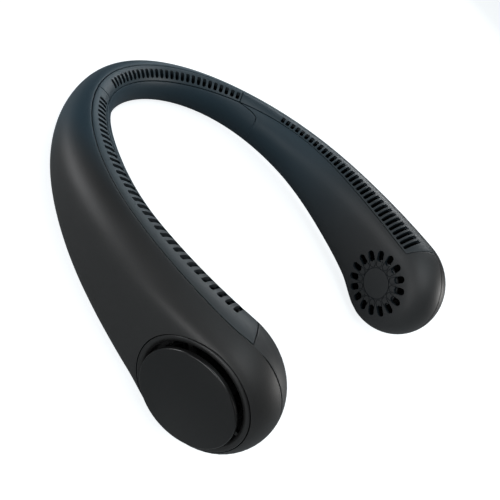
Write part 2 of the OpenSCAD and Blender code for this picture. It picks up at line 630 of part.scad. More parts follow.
// Floor of the air duct over the cell, with the clips of the cell
guide_top = -cell_deep + cell_r + 1.45 * wall;
guide_rows = even(cell_at - 0.5 * cell_len, cell_at + 0.5 * cell_len, 8);
function guide_grid(z) = [for (s = guide_rows) [for (way = [1, -1]) beside(1, s, reach(s, z, wall, way) - way * seat_gap, z)]];
module air_guide(side) {
    sided(side) skin(guide_grid(guide_top), guide_grid(guide_top - 0.7 * wall), 0, 0, false, false);
    at_arm(side, cell_at)
    for (y = [-0.38 * cell_len, 0.22 * cell_len])
        translate([0, y + 0.16 * cell_len, -cell_deep])
        rotate([90, 0, 0])
        difference() {
            cylinder(r = cell_r + 0.85 * wall, h = 0.16 * cell_len);
            translate([0, 0, -wall]) cylinder(r = cell_r + 2 * run_clear, h = 0.16 * cell_len + 2 * wall);
            translate([-2 * cell_r, -3 * cell_r, -wall]) cube([4 * cell_r, 2.4 * cell_r, cell_len]);
        }
}
module right_air_guide() {
    color([0.22, 0.23, 0.24]) stand() air_guide(1);
}
module left_air_guide() {
    color([0.22, 0.23, 0.24]) stand() air_guide(-1);
}

module cell(side) {
    at_arm(side, cell_at)
    translate([0, cell_len / 2, -cell_deep])
    rotate([90, 0, 0])
    union() {
        cylinder(r = cell_r, h = 0.985 * cell_len);
        cylinder(r = 0.4 * cell_r, h = cell_len);
    }
}
module right_cell() {
    color([0.1, 0.35, 0.6]) stand() cell(1);
}
module left_cell() {
    color([0.1, 0.35, 0.6]) stand() cell(-1);
}

module circuit_board() {
    color([0.05, 0.35, 0.2])
    stand()
    at_arm(1, board_at)
    difference() {
        translate([board_u, -0.52 * board_len, board_mid_z - board_h / 2]) cube([board_t, board_len, board_h]);
        for (p = post_spots) along_x(board_u - wall, on_board(p, 0)[1], post_z) cylinder(r = screw_r + run_clear, h = 3 * wall);
    }
}
module power_switch() {
    color([0.15, 0.15, 0.15])
    stand()
    at_arm(1, board_at)
    difference() {
        translate([board_out, -button_w / 2, button_z - button_w / 2]) cube([switch_h, button_w, button_w]);
        along_x(board_out + switch_h / 3, 0, button_z) cylinder(r = plunger_r + run_clear, h = switch_h);
    }
}
module switch_plunger() {
    color([0.8, 0.8, 0.78])
    stand()
    at_arm(1, board_at)
    along_x(board_out + 0.7 * switch_h, 0, button_z) cylinder(r = plunger_r, h = flange_in - board_out - 0.7 * switch_h);
}
module power_button() {
    color([0.22, 0.22, 0.23])
    stand()
    at_arm(1, board_at) {
        along_x(flange_in, 0, button_z) pill(button_len + wall, button_w + wall, wall / 2);
        along_x(flange_in, 0, button_z) pill(button_len, button_w, button_face + button_proud - flange_in);
    }
}
module usb_port() {
    color([0.7, 0.71, 0.73])
    stand()
    at_arm(1, board_at)
    translate([usb_x, usb_y, usb_low]) {
        difference() {
            pill(usb_w, usb_h, usb_deep);
            translate([0, 0, -wall]) pill(usb_w - wall / 3, usb_h - wall / 3, usb_deep);
        }
        translate([-wall / 6, -0.38 * usb_w, wall / 2]) cube([wall / 3, 0.76 * usb_w, usb_deep - wall]);
    }
}
module light_pipes() {
    color([0.9, 0.92, 0.95])
    stand()
    at_arm(1, board_at)
    for (p = pipe_spots) let (e = on_board(p, reach(p, button_z, 0, 1)))
        along_x(board_out, on_board(p, 0)[1], button_z) cylinder(r = pipe_r, h = e[0] - board_out - button_gap / 3);
}

// Wire looms: from the board down to the inner wall, along it, and in to the motor plate
loom_in = wall + loom_r + seat_gap / 2;
function hug(side, s) = skin_at(side, s, 230, loom_in, 0);
cell_start = cell_at - cell_len / 2;
cell_end = cell_at + cell_len / 2;
hug_from = cell_start + loom_r / 2;
hug_to = cell_end + 1.4 * loom_r;
motor_run_shares = [[0.885, -0.66, -0.62], [0.91, -0.72, -0.55], [0.932, -0.74, -0.51]];
function motor_run(side) = [for (e = motor_run_shares) beside(side, e[0] * pod_at, e[1] * (flat_w(pod_at, false)), e[2] * 2 * pod_half_h)];
left_path = concat(
    [beside(1, board_at - 0.35 * board_len, board_u - 0.25 * loom_r, post_z - 1.5 * wall), beside(1, board_at - 0.48 * board_len, 0.6 * board_u, board_mid_z + 0.2 * board_h)],
    [beside(1, board_at - 0.62 * board_len, -0.3 * board_u, board_mid_z), beside(1, board_at - 0.8 * board_len, -2.6 * loom_r - board_u, board_mid_z - 0.16 * board_h)],
    [for (f = even(0.34, 0, 9)) hug(1, f * pod_at)],
    [for (s = even(0.035 * pod_at, hug_to, 22)) hug(-1, s)],
    motor_run(-1));
right_path = concat(
    [beside(1, board_at + 0.42 * board_len, board_u + 0.2 * loom_r, board_mid_z - 0.1 * board_h), beside(1, cell_start - 0.114 * board_len, -0.4 * board_u, board_mid_z - 0.22 * board_h)],
    [for (s = even(hug_from, hug_to, 6)) hug(1, s)],
    motor_run(1));
module right_loom() {
    color([0.6, 0.1, 0.1]) stand() swept(right_path);
}
module left_loom() {
    color([0.6, 0.1, 0.1]) stand() swept(left_path);
}

module screw(head_r, head_h, r, l) {
    difference() {
        cylinder(r = head_r, h = head_h);
        translate([0, 0, -head_h]) cylinder(r = head_r / 2, h = 1.5 * head_h, $fn = 6);
    }
    translate([0, 0, 0.9 * head_h]) cylinder(r = r, h = l);
}
module shell_screws() {
    color([0.4, 0.4, 0.42])
    stand()
    for (q = screw_spots) at_arm(q[0], q[1]) translate([0, 0, spot_low(q) + 0.3 * wall]) screw(2.1 * screw_r, wall / 2, screw_r, 2.4 * wall);
}
module motor_screws() {
    color([0.4, 0.4, 0.42])
    stand()
    for (side = [1, -1]) at_pod(side) for (i = [0:2]) rotate([0, 0, 120 * i]) translate([0.76 * can_r, 0, plate_top + wall / 2])
        mirror([0, 0, 1]) screw(1.9 * screw_r, wall / 2, screw_r, 0.85 * wall);
}
module cap_screws() {
    color([0.4, 0.4, 0.42])
    stand()
    for (side = [1, -1]) at_pod(side) translate([0, 0, spider_low - wall / 2]) screw(1.9 * screw_r, wall / 2, screw_r, 1.9 * wall);
}
module board_screws() {
    color([0.4, 0.4, 0.42])
    stand()
    at_arm(1, board_at)
    for (p = post_spots) along_x(board_u - wall / 2, on_board(p, 0)[1], post_z) screw(1.9 * screw_r, wall / 2, screw_r, 2.2 * wall);
}

outer_shell();
right_inner_shell();
left_inner_shell();
rear_inner_cover();
right_vent_strip();
left_vent_strip();
rear_vent_strip();
right_intake_ring();
left_intake_ring();
right_cap();
left_cap();
right_motor_plate();
left_motor_plate();
right_bearings();
left_bearings();
right_stator();
left_stator();
right_magnet_can();
left_magnet_can();
right_shaft();
left_shaft();
right_impeller();
left_impeller();
right_scroll();
left_scroll();
right_air_guide();
left_air_guide();
right_cell();
left_cell();
circuit_board();
power_switch();
switch_plunger();
power_button();
usb_port();
light_pipes();
right_loom();
left_loom();
shell_screws();
motor_screws();
cap_screws();
board_screws();
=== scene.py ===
"""Neck fan: moulded U body with two fan pods, airflow strips, intake caps and inner grilles."""
from math import atan, cos, pi, radians, sin, tan

import bmesh
import bpy
import numpy as np
from bpy.props import FloatProperty, FloatVectorProperty, IntProperty, PointerProperty
from mathutils import Matrix, Vector


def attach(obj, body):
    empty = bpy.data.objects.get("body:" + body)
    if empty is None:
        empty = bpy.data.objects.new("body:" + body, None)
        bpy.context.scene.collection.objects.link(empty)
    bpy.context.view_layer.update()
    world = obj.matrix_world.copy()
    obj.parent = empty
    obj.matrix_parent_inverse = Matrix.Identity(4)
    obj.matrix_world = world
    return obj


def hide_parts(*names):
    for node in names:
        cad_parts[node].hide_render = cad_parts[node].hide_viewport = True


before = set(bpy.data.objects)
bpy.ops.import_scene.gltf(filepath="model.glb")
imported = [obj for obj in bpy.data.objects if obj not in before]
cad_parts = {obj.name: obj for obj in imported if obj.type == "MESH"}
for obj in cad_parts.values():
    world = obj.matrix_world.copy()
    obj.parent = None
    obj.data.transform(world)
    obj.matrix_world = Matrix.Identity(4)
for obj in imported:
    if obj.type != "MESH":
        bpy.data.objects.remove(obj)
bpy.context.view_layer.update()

MM = 0.001
TINY = 1e-3  # least divisor, as a share

bl_info = {
    "name": "Neck Fan",
    "version": (1, 0, 0),
    "blender": (4, 5, 0),
    "location": "View3D > Sidebar > Neck Fan",
    "description": "Builds a bladeless neck fan over its CAD frame",
    "category": "Object",
}


# ---------------------------------------------------------------- sizes and colours

def linear(hex_colour):
    """sRGB hex to the linear values that Blender's sockets take."""
    parts = [int(hex_colour[i:i + 2], 16) / 255 for i in (1, 3, 5)]
    return tuple(c / 12.92 if c <= 0.04045 else ((c + 0.055) / 1.055) ** 2.4 for c in parts)


def length(label, about, mm):
    return FloatProperty(name=label, description=about, default=mm * MM, unit="LENGTH", precision=5)


def tilt(label, about, degrees):
    return FloatProperty(name=label, description=about, default=radians(degrees), subtype="ANGLE")


def number(label, about, value, least=1):
    return IntProperty(name=label, description=about, default=value, min=least)


def colour(label, about, hex_colour):
    return FloatVectorProperty(name=label, description=about, default=linear(hex_colour), subtype="COLOR",
                               size=3, min=0, max=1)


class NeckFanSizes(bpy.types.PropertyGroup):
    curve_half_w: length("Curve half width", "Half the width of the neck curve", 83)
    curve_rear: length("Curve rear depth", "From the widest place to the rear of the curve", 109.3)
    curve_front: length("Curve front depth", "From the widest place to the front of the curve's ellipse", 141.8)
    pod_toe_in: tilt("Pod toe-in", "Turn of the pods toward each other", 14)
    rear_half_w: length("Rear half width", "Half width of the section at the rear", 9)
    pod_half_w: length("Pod half width", "Half width of the section at the pod", 22.5)
    rear_half_h: length("Rear half height", "Half height of the section at the rear", 11.2)
    pod_half_h: length("Pod half height", "Half height of the section at the pod", 30.5)
    wall: length("Wall", "Thickness of the moulded walls", 1.8)
    seam_gap: length("Seam gap", "Gap between moulded pieces", 0.38)
    skin_in: length("Skin inset", "How far the smooth skin keeps inside the faceted part", 0.09)
    seam_roll: length("Seam rounding", "Radius on the edges of the moulded pieces", 0.26)
    seam_out: length("Top seam offset", "How far outside the crest the top seam lies at the pod", 3.7)
    seam_low: tilt("Bottom seam", "Angle of the bottom seam below the middle", 75)
    cover_len: length("Rear cover length", "Half length of the rear inner cover along the curve", 74)
    cover_nose: length("Cover nose", "How far the top corner of the rear cover draws back", 16)
    cover_drop: length("Cover corner", "Height of the rounded top corner of the rear cover", 6)
    strip_join: length("Strip joint", "From the rear to the joint of rear and arm strips", 59)
    strip_edge: length("Strip edge", "Strip left beside the slots", 0.8)
    slot_len: length("Slot length", "Length of the longest slots", 9.2)
    slot_w: length("Slot width", "Width of a slot", 2.3)
    slot_round: length("Slot corner", "Corner radius of a slot", 0.78)
    slot_in: length("Slot offset", "From the crest to the slots", 4)
    left_pitch: length("Left slot pitch", "Pitch of the slots on the left arm", 4.03)
    right_pitch: length("Right slot pitch", "Pitch of the slots on the right arm", 3.7)
    left_plain: length("Left plain length", "From the strip joint to the left arm's first slot", 8.9)
    right_plain: length("Right plain length", "From the strip joint to the right arm's first slot", 30.4)
    rear_pitch: length("Rear slot pitch", "Pitch of the slots at the rear", 3.9)
    rear_shift: length("Rear slot shift", "Distance of the rear slots' middle towards the right arm", 5.7)
    left_slots: number("Left slots", "Slots in the left arm strip", 34)
    right_slots: number("Right slots", "Slots in the right arm strip", 32)
    rear_slots: number("Rear slots", "Slots in the rear strip", 27)
    ring_r: length("Ring radius", "Radius of the seam round the intake ring", 24.4)
    ring_bore_r: length("Ring bore", "Inner radius of the intake ring", 21.3)
    ring_top: length("Ring height", "Height of the intake ring above the pod's middle", 12.8)
    ring_sink: length("Ring funnel", "Depth of the rounded mouth of the ring", 2.0)
    flange_r: length("Ring flange", "Radius of the flange under the shell", 25.93)
    flange_low: length("Flange height", "Height of the flange above the pod's middle", 6.992)
    cap_r: length("Cap radius", "Radius of the outer cap", 20.6)
    cap_rim_top: length("Cap height", "Height of the cap's edge above the pod's middle", 15.9)
    cap_dome: length("Cap dome", "Rise of the cap's middle over its edge", 1.1)
    cap_rim_h: length("Cap rim", "Height of the cap's rim", 1.9)
    cap_round: length("Cap rounding", "Radius of the cap's edge", 0.6)
    grille_r: length("Grille radius", "Outer end of the grille slots", 18.9)
    grille_in_r: length("Grille inner radius", "Inner end of the grille slots", 12.5)
    grille_hub_r: length("Grille hub", "Radius of the engraved circle", 8.8)
    grille_w: length("Grille slot width", "Width of a grille slot", 4)
    grille_slots: number("Grille slots", "Slots in each grille", 16, 3)
    groove_w: length("Groove width", "Width of the engraved lines", 0.38)
    groove_deep: length("Groove depth", "Depth of the engraved lines", 0.6)
    board_at: length("Controls place", "Where the controls sit along the right arm", 110)
    button_len: length("Button length", "Length of the power button", 12)
    button_w: length("Button width", "Width of the power button", 5.6)
    button_proud: length("Button height", "How far the button stands out", 0.8)
    button_gap: length("Button gap", "Gap round the power button", 0.3)
    usb_w: length("Port width", "Width of the charging port", 8.9)
    usb_h: length("Port height", "Height of the charging port", 3.2)
    pipe_r: length("Light radius", "Radius of a status light", 1)
    screw_r: length("Screw radius", "Radius of the shell screws", 0.85)
    stem_r: length("Cap stem", "Radius of the stem that carries the cap", 3)


class NeckFanFinish(bpy.types.PropertyGroup):
    shell: colour("Outer shell", "Moulded outer shell", "#222222")
    inner: colour("Inner walls", "Inner walls next to the neck", "#303132")
    # painted bluish reflection, blended into the shells and inner walls toward the rear
    rear_tone: colour("Rear tone", "Cooler tone of the mouldings toward the rear", "#213641")
    strip: colour("Air strips", "Strips that carry the slots", "#34393c")
    # painted bluish reflection, blended into the strips toward the rear
    strip_tone: colour("Strip rear tone", "Cooler tone of the strips toward the rear", "#273841")
    # painted shade of the walls inside the openings, near black with a teal cast
    slot_wall: colour("Slot walls", "Walls inside the slots", "#0d1a21")
    ring: colour("Intake rings", "Rings round the caps", "#1b1b1b")
    cap: colour("Caps", "Outer caps", "#0d0d0d")
    button: colour("Button", "Power button", "#323335")
    floor: colour("Floor", "Floor and backdrop", "#fafdff")


def sizes():
    return bpy.context.scene.neck_fan_sizes


def finish_colours():
    return bpy.context.scene.neck_fan_finish


# ---------------------------------------------------------------- shape of the moulded body

class Form:
    """The moulded body: ellipses swept along the neck curve and held in by soft flats.

    s runs along the curve from the rear, u outward, z up from the crest. Angles: 0 outward, 90 crest, 180 inward."""
    # places as shares of the way from the rear to the pod, and the share of each size there
    STATIONS = (0, 0.25, 0.5, 0.72, 0.88, 1)
    SHARES = {
        "width": (0, 0.06, 0.467, 0.648, 0.844, 1),
        "height": (0, 0.065, 0.264, 0.565, 0.782, 1),
        "flat_in": (1.25, 1.25, 1.1, 0.95, 0.83, 0.7556),
        "flat_out": (1.25, 1.2, 1, 0.83, 0.69, 0.6044),
        "seam": (-0.514, -0.196, 0.162, 0.511, 0.784, 1),
        "slot_in": (1, 0.775, 0.625, 0.575, 0.625, 0.7),
        "slot_len": (0.359, 0.402, 0.5, 0.793, 1, 1.065),
    }
    SOFTNESS = 10  # power of the turn from the ellipse into its flat: higher is crisper
    # how the body stands on the floor: its tilt, and how far it then moves forward and up
    STAND_TILT = radians(13.2817)
    STAND_MID = 10.8478 * MM
    STAND_RISE = 47.086 * MM

    def __init__(self, size):
        self.size = size
        end = pi / 2 + atan(size.curve_front * tan(size.pod_toe_in) / size.curve_half_w)
        self.turns = np.linspace(0, end, 181)
        points = self.ellipse(self.turns)
        self.runs = np.concatenate([[0], np.cumsum(np.hypot(*np.diff(points)))])
        self.pod = float(self.runs[-1])
        self.lead = 0.2 * size.pod_half_h  # how far the outer corner of a strip's front end leads the inner one

    def ellipse(self, turn):
        deep = np.where(turn < pi / 2, self.size.curve_rear, self.size.curve_front)
        return np.stack([self.size.curve_half_w * np.sin(turn), deep * np.cos(turn)])

    def centre(self, s):
        """Point of the curve and its outward direction."""
        turn = np.interp(np.minimum(s, self.pod), self.runs, self.turns)
        deep = np.where(turn < pi / 2, self.size.curve_rear, self.size.curve_front)
        out = np.stack([deep * np.sin(turn), self.size.curve_half_w * np.cos(turn)])
        out = out / np.hypot(*out)
        past = np.maximum(s - self.pod, 0)
        return self.ellipse(turn) + past * np.stack([out[1], -out[0]]), out

    def smooth(self, name, s):
        """Smooth value between the listed shares."""
        at, values = np.array(self.STATIONS), np.array(self.SHARES[name], float)
        t = np.minimum(np.abs(s), self.pod) / self.pod
        i = np.clip(np.searchsorted(at, t, side="right") - 1, 0, len(at) - 2)
        slope = np.zeros(len(at))
        slope[1:-1] = (values[2:] - values[:-2]) / (at[2:] - at[:-2])
        h = at[i + 1] - at[i]
        q = (t - at[i]) / h
        return (values[i] * (1 + 2 * q) * (1 - q) ** 2 + slope[i] * h * q * (1 - q) ** 2
                + values[i + 1] * q * q * (3 - 2 * q) - slope[i + 1] * h * q * q * (1 - q))

    def half_w(self, s):
        return self.size.rear_half_w + (self.size.pod_half_w - self.size.rear_half_w) * self.smooth("width", s)

    def half_h(self, s):
        return self.size.rear_half_h + (self.size.pod_half_h - self.size.rear_half_h) * self.smooth("height", s)

    def flat(self, s, outward):
        return self.half_w(s) * self.smooth("flat_out" if outward else "flat_in", s)

    def side_u(self, s, w, inset):
        """Width w held in by the flat of its side."""
        limit = np.where(w >= 0, self.flat(s, True), self.flat(s, False)) - inset
        x = np.abs(w) / limit
        return np.sign(w) * limit * x / (1 + x ** self.SOFTNESS) ** (1 / self.SOFTNESS)

    def stand(self, side, x, y, z):
        """Into the row frame: resting on the pods and the back of the curve."""
        c, k = cos(self.STAND_TILT), sin(self.STAND_TILT)
        return np.stack([side * x, y * c + z * k - self.STAND_MID, z * c - y * k + self.STAND_RISE], axis=-1)

    def place(self, side, s, u, z):
        mid, out = self.centre(s)
        return self.stand(side, mid[0] + out[0] * u, mid[1] + out[1] * u, z)

    def skin(self, side, s, angle, inset, shift=0.0):
        """Point on the skin, inset below the outer face. Places past the pod centre close the end."""
        deep = self.size.pod_half_h
        side, s, angle, inset = np.broadcast_arrays(side, s, angle, inset + self.size.skin_in)
        turn = np.arcsin(np.clip((s - self.pod) / deep, 0, 1))
        k, base = np.cos(turn), np.minimum(s, self.pod)
        w = (self.half_w(base) - inset) * k * np.cos(angle)
        u = np.where(k < TINY, shift, self.side_u(base, w, inset))
        along = np.where(turn > 0, base + (deep - inset) * np.sin(turn), base)
        return self.place(side, along, u, (self.half_h(base) - inset) * k * np.sin(angle) - self.half_h(base))

    def turn_of(self, s):
        return np.clip((s - self.pod) / self.size.pod_half_h, 0, 1)

    def seam_top(self, s):
        b = np.minimum(s, self.pod)
        a = np.arccos(self.size.seam_out * self.smooth("seam", b) / self.half_w(b))
        return a + (pi / 2 - a) * self.turn_of(s)

    def seam_bottom(self, s):
        return -self.size.seam_low - (pi / 2 - self.size.seam_low) * self.turn_of(s)

    def slot_u(self, s):
        return self.size.slot_in * self.smooth("slot_in", s)

    def slot_l(self, s):
        return self.size.slot_len * self.smooth("slot_len", s)

    def strip_side(self, s):
        b = np.minimum(s, self.pod)
        reach = (self.slot_u(b) + self.slot_l(b) + self.size.strip_edge) / self.half_w(b)
        return np.arccos(-np.minimum(0.95, reach))

    def strip_edges(self, s):
        """Angles of a strip's two edges."""
        return self.seam_top(s), self.strip_side(s)

    def wall_edges(self, s):
        """Angles of the inner wall's edges, from the strip down to the bottom seam."""
        return self.strip_side(s), 2 * pi + self.seam_bottom(s)

    def arc_angle(self, s, angle, run):
        """Angle that a short run along the section takes at this place."""
        b, k = np.minimum(s, self.pod), np.cos(np.arcsin(self.turn_of(s)))
        r = np.maximum(k, TINY) * np.hypot(self.half_w(b) * np.sin(angle), self.half_h(b) * np.cos(angle))
        return np.arcsin(np.minimum(1, run / r))

    def arm_frame(self, side, s):
        """Matrix of a place on the curve: x outward, y toward the rear, z up."""
        mid, out = self.centre(np.array(s))
        turned = Matrix(((out[0], -out[1], 0, mid[0]), (out[1], out[0], 0, mid[1]), (0, 0, 1, 0), (0, 0, 0, 1)))
        stand = (Matrix.Translation((0, -self.STAND_MID, self.STAND_RISE))
                 @ Matrix.Rotation(-self.STAND_TILT, 4, "X"))
        return stand @ Matrix.Diagonal((side, 1, 1, 1)) @ turned

    def pod_frame(self, side):
        """Matrix of a pod: x down, y toward the rear, z outward along the fan's axis."""
        return (self.arm_frame(side, self.pod) @ Matrix.Translation((0, 0, -self.size.pod_half_h))
                @ Matrix.Rotation(pi / 2, 4, "Y"))

    def controls_frame(self, shift=0.0):
        """Matrix of a place among the controls on the right arm: y along the arm, z outward."""
        at = self.size.board_at
        return (self.arm_frame(1, at) @ Matrix.Translation((0, shift, -float(self.half_h(at))))
                @ Matrix.Rotation(pi / 2, 4, "Y"))

    def controls_face(self):
        """How far out the skin lies at the controls."""
        at = self.size.board_at
        return float(self.side_u(at, self.half_w(at), 0))

    def pod_skin(self, x, y, way):
        """Height of the skin over a pod's middle plane: way 1 is the cap side, -1 the grille side."""
        mid, out = self.centre(np.array(self.pod))
        s = self.pod - y
        for _ in range(8):
            base, turn = np.minimum(s, self.pod), np.arcsin(self.turn_of(s))
            k, deep = np.cos(turn), self.half_h(base)
            fall = self.size.pod_half_h - deep
            q = np.clip((-x - fall) / (deep * np.maximum(k, TINY)), -1, 1)
            u = self.side_u(base, way * self.half_w(base) * k * np.sqrt(1 - q * q), 0)
            c, n = self.centre(s)
            d = c + n * u - mid[:, None]
            s = s + (-out[1] * d[0] + out[0] * d[1] - y)
        return out[0] * d[0] + out[1] * d[1]


# ---------------------------------------------------------------- mesh helpers

def new_object(name, mesh):
    obj = bpy.data.objects.new(name, mesh)
    bpy.context.scene.collection.objects.link(obj)
    return obj


def mesh_from(name, points, faces):
    """Closed mesh with merged doubles, faces outward, smooth but for its sharp edges."""
    mesh = bpy.data.meshes.new(name)
    mesh.from_pydata([tuple(p) for p in points], [], faces)
    bm = bmesh.new()
    bm.from_mesh(mesh)
    bmesh.ops.remove_doubles(bm, verts=bm.verts, dist=0.004 * MM)
    bmesh.ops.dissolve_degenerate(bm, edges=bm.edges, dist=0.001 * MM)
    bmesh.ops.recalc_face_normals(bm, faces=bm.faces)
    bm.to_mesh(mesh)
    bm.free()
    smooth_by_angle(mesh, 35)
    return mesh


def smooth_by_angle(mesh, degrees):
    """Smooth shading but for edges that turn by more than the angle."""
    mesh.polygons.foreach_set("use_smooth", [True] * len(mesh.polygons))
    mesh.set_sharp_from_angle(angle=radians(degrees))


def plate_mesh(name, outer, inner, cells):
    """Closed plate from two grids of points; cells says which of the grid's cells exist."""
    rows, cols = outer.shape[:2]
    points = np.concatenate([outer.reshape(-1, 3), inner.reshape(-1, 3)])
    half, faces = rows * cols, []
    for i, j in zip(*np.nonzero(cells)):
        a, b, c, d = i * cols + j, i * cols + j + 1, (i + 1) * cols + j + 1, (i + 1) * cols + j
        faces.append((a, b, c, d))
        faces.append((a + half, d + half, c + half, b + half))
        for p, q, ni, nj in ((a, b, i - 1, j), (b, c, i, j + 1), (c, d, i + 1, j), (d, a, i, j - 1)):
            if not (0 <= ni < rows - 1 and 0 <= nj < cols - 1 and cells[ni, nj]):
                faces.append((q, p, p + half, q + half))
    return mesh_from(name, points, faces)


def lathe_mesh(name, profile, matrix, count=128, height=None):
    """Ring or disc turned round a local z axis. height(x, y, z, k) may move each point of the profile."""
    turn = np.linspace(0, 2 * pi, count, endpoint=False)
    points, faces, n = [], [], len(profile)
    for k, (r, z) in enumerate(profile):
        x, y = r * np.cos(turn), r * np.sin(turn)
        h = np.full(count, z) if height is None else height(x, y, z, k)
        points.extend(zip(x, y, h))
    closed = profile[0] != profile[-1] and profile[0][0] > 0
    for k in range(n if closed else n - 1):
        for m in range(count):
            m2, k2 = (m + 1) % count, (k + 1) % n
            faces.append((k * count + m, k * count + m2, k2 * count + m2, k2 * count + m))
    points = [matrix @ Vector(p) for p in points]
    return mesh_from(name, points, faces)


def prism_mesh(name, outline, low, high, matrix):
    """Upright prism over a closed outline of (x, y) points."""
    n = len(outline)
    points = [(x, y, z) for z in (low, high) for x, y in outline]
    faces = [tuple(range(n - 1, -1, -1)), tuple(range(n, 2 * n))]
    faces += [(i, (i + 1) % n, (i + 1) % n + n, i + n) for i in range(n)]
    return mesh_from(name, [matrix @ Vector(p) for p in points], faces)


def box(left, right, low, high):
    """Corners of a rectangle."""
    return [(left, low), (right, low), (right, high), (left, high)]


def circle(radius, count):
    return [(radius * cos(a), radius * sin(a)) for a in np.linspace(0, 2 * pi, count, endpoint=False)]


def turned(outline, a):
    return [(x * cos(a) - y * sin(a), x * sin(a) + y * cos(a)) for x, y in outline]


def pill_outline(long, wide, steps=12):
    """Outline with round ends, long along y."""
    r, top = wide / 2, (long - wide) / 2
    ends = []
    for way in (1, -1):
        for k in range(steps + 1):
            a = pi * k / steps + (0 if way > 0 else pi)
            ends.append((r * cos(a), way * top + r * sin(a)))
    return ends


def ribbon_mesh(name, path, width, low, high, matrix, closed):
    """Band of square section along a path on a plane, for engraved lines."""
    path = np.array(path)
    n = len(path)
    if closed:
        way = np.roll(path, -1, 0) - np.roll(path, 1, 0)
    else:
        way = np.gradient(path, axis=0)
    way /= np.hypot(way[:, 0], way[:, 1])[:, None]
    across = np.stack([-way[:, 1], way[:, 0]], 1) * width / 2
    points, faces = [], []
    for p, d, lo, hi in zip(path, across, low, high):
        points += [(*(p - d), lo), (*(p + d), lo), (*(p + d), hi), (*(p - d), hi)]
    for i in range(n if closed else n - 1):
        a, b = 4 * i, 4 * ((i + 1) % n)
        faces += [(a + k, a + (k + 1) % 4, b + (k + 1) % 4, b + k) for k in range(4)]
    if not closed:
        faces += [(0, 1, 2, 3), (4 * n - 1, 4 * n - 2, 4 * n - 3, 4 * n - 4)]
    return mesh_from(name, [matrix @ Vector(p) for p in points], faces)


def joined(name, meshes):
    """One mesh of several, without their originals."""
    bm = bmesh.new()
    for mesh in meshes:
        bm.from_mesh(mesh)
    out = bpy.data.meshes.new(name)
    bm.to_mesh(out)
    bm.free()
    for mesh in meshes:
        bpy.data.meshes.remove(mesh)
    return out


def settle(obj):
    """The evaluated object as a plain mesh, with no modifier left."""
    graph = bpy.context.evaluated_depsgraph_get()
    mesh = bpy.data.meshes.new_from_object(obj.evaluated_get(graph), preserve_all_data_layers=True, depsgraph=graph)
    old = obj.data
    obj.modifiers.clear()
    obj.data = mesh
    if isinstance(old, bpy.types.Mesh) and old.users == 0:
        bpy.data.meshes.remove(old)


def cut(obj, cutter_mesh):
    """Takes the cutters out of the object; the new walls get the painted shade of the slot walls."""
    tool = new_object(obj.name + "_cutter", cutter_mesh)
    if not cutter_mesh.materials:
        cutter_mesh.materials.append(finish("slot_wall"))
    mod = obj.modifiers.new("Openings", "BOOLEAN")
    mod.operation, mod.solver, mod.object = "DIFFERENCE", "EXACT", tool
    mod.material_mode = "TRANSFER"
    settle(obj)
    bpy.data.objects.remove(tool)
    bpy.data.meshes.remove(cutter_mesh)
    smooth_by_angle(obj.data, 32)


# ---------------------------------------------------------------- node helpers

def add(tree, kind, inputs=(), **settings):
    """Adds a node with its settings, and sets or links its inputs by name or number."""
    node = tree.nodes.new(kind)
    for key, value in settings.items():
        setattr(node, key, value)
    for key, value in dict(inputs).items():
        socket = node.inputs[key]
        if isinstance(value, bpy.types.NodeSocket):
            tree.links.new(value, socket)
        else:
            socket.default_value = value
    return node


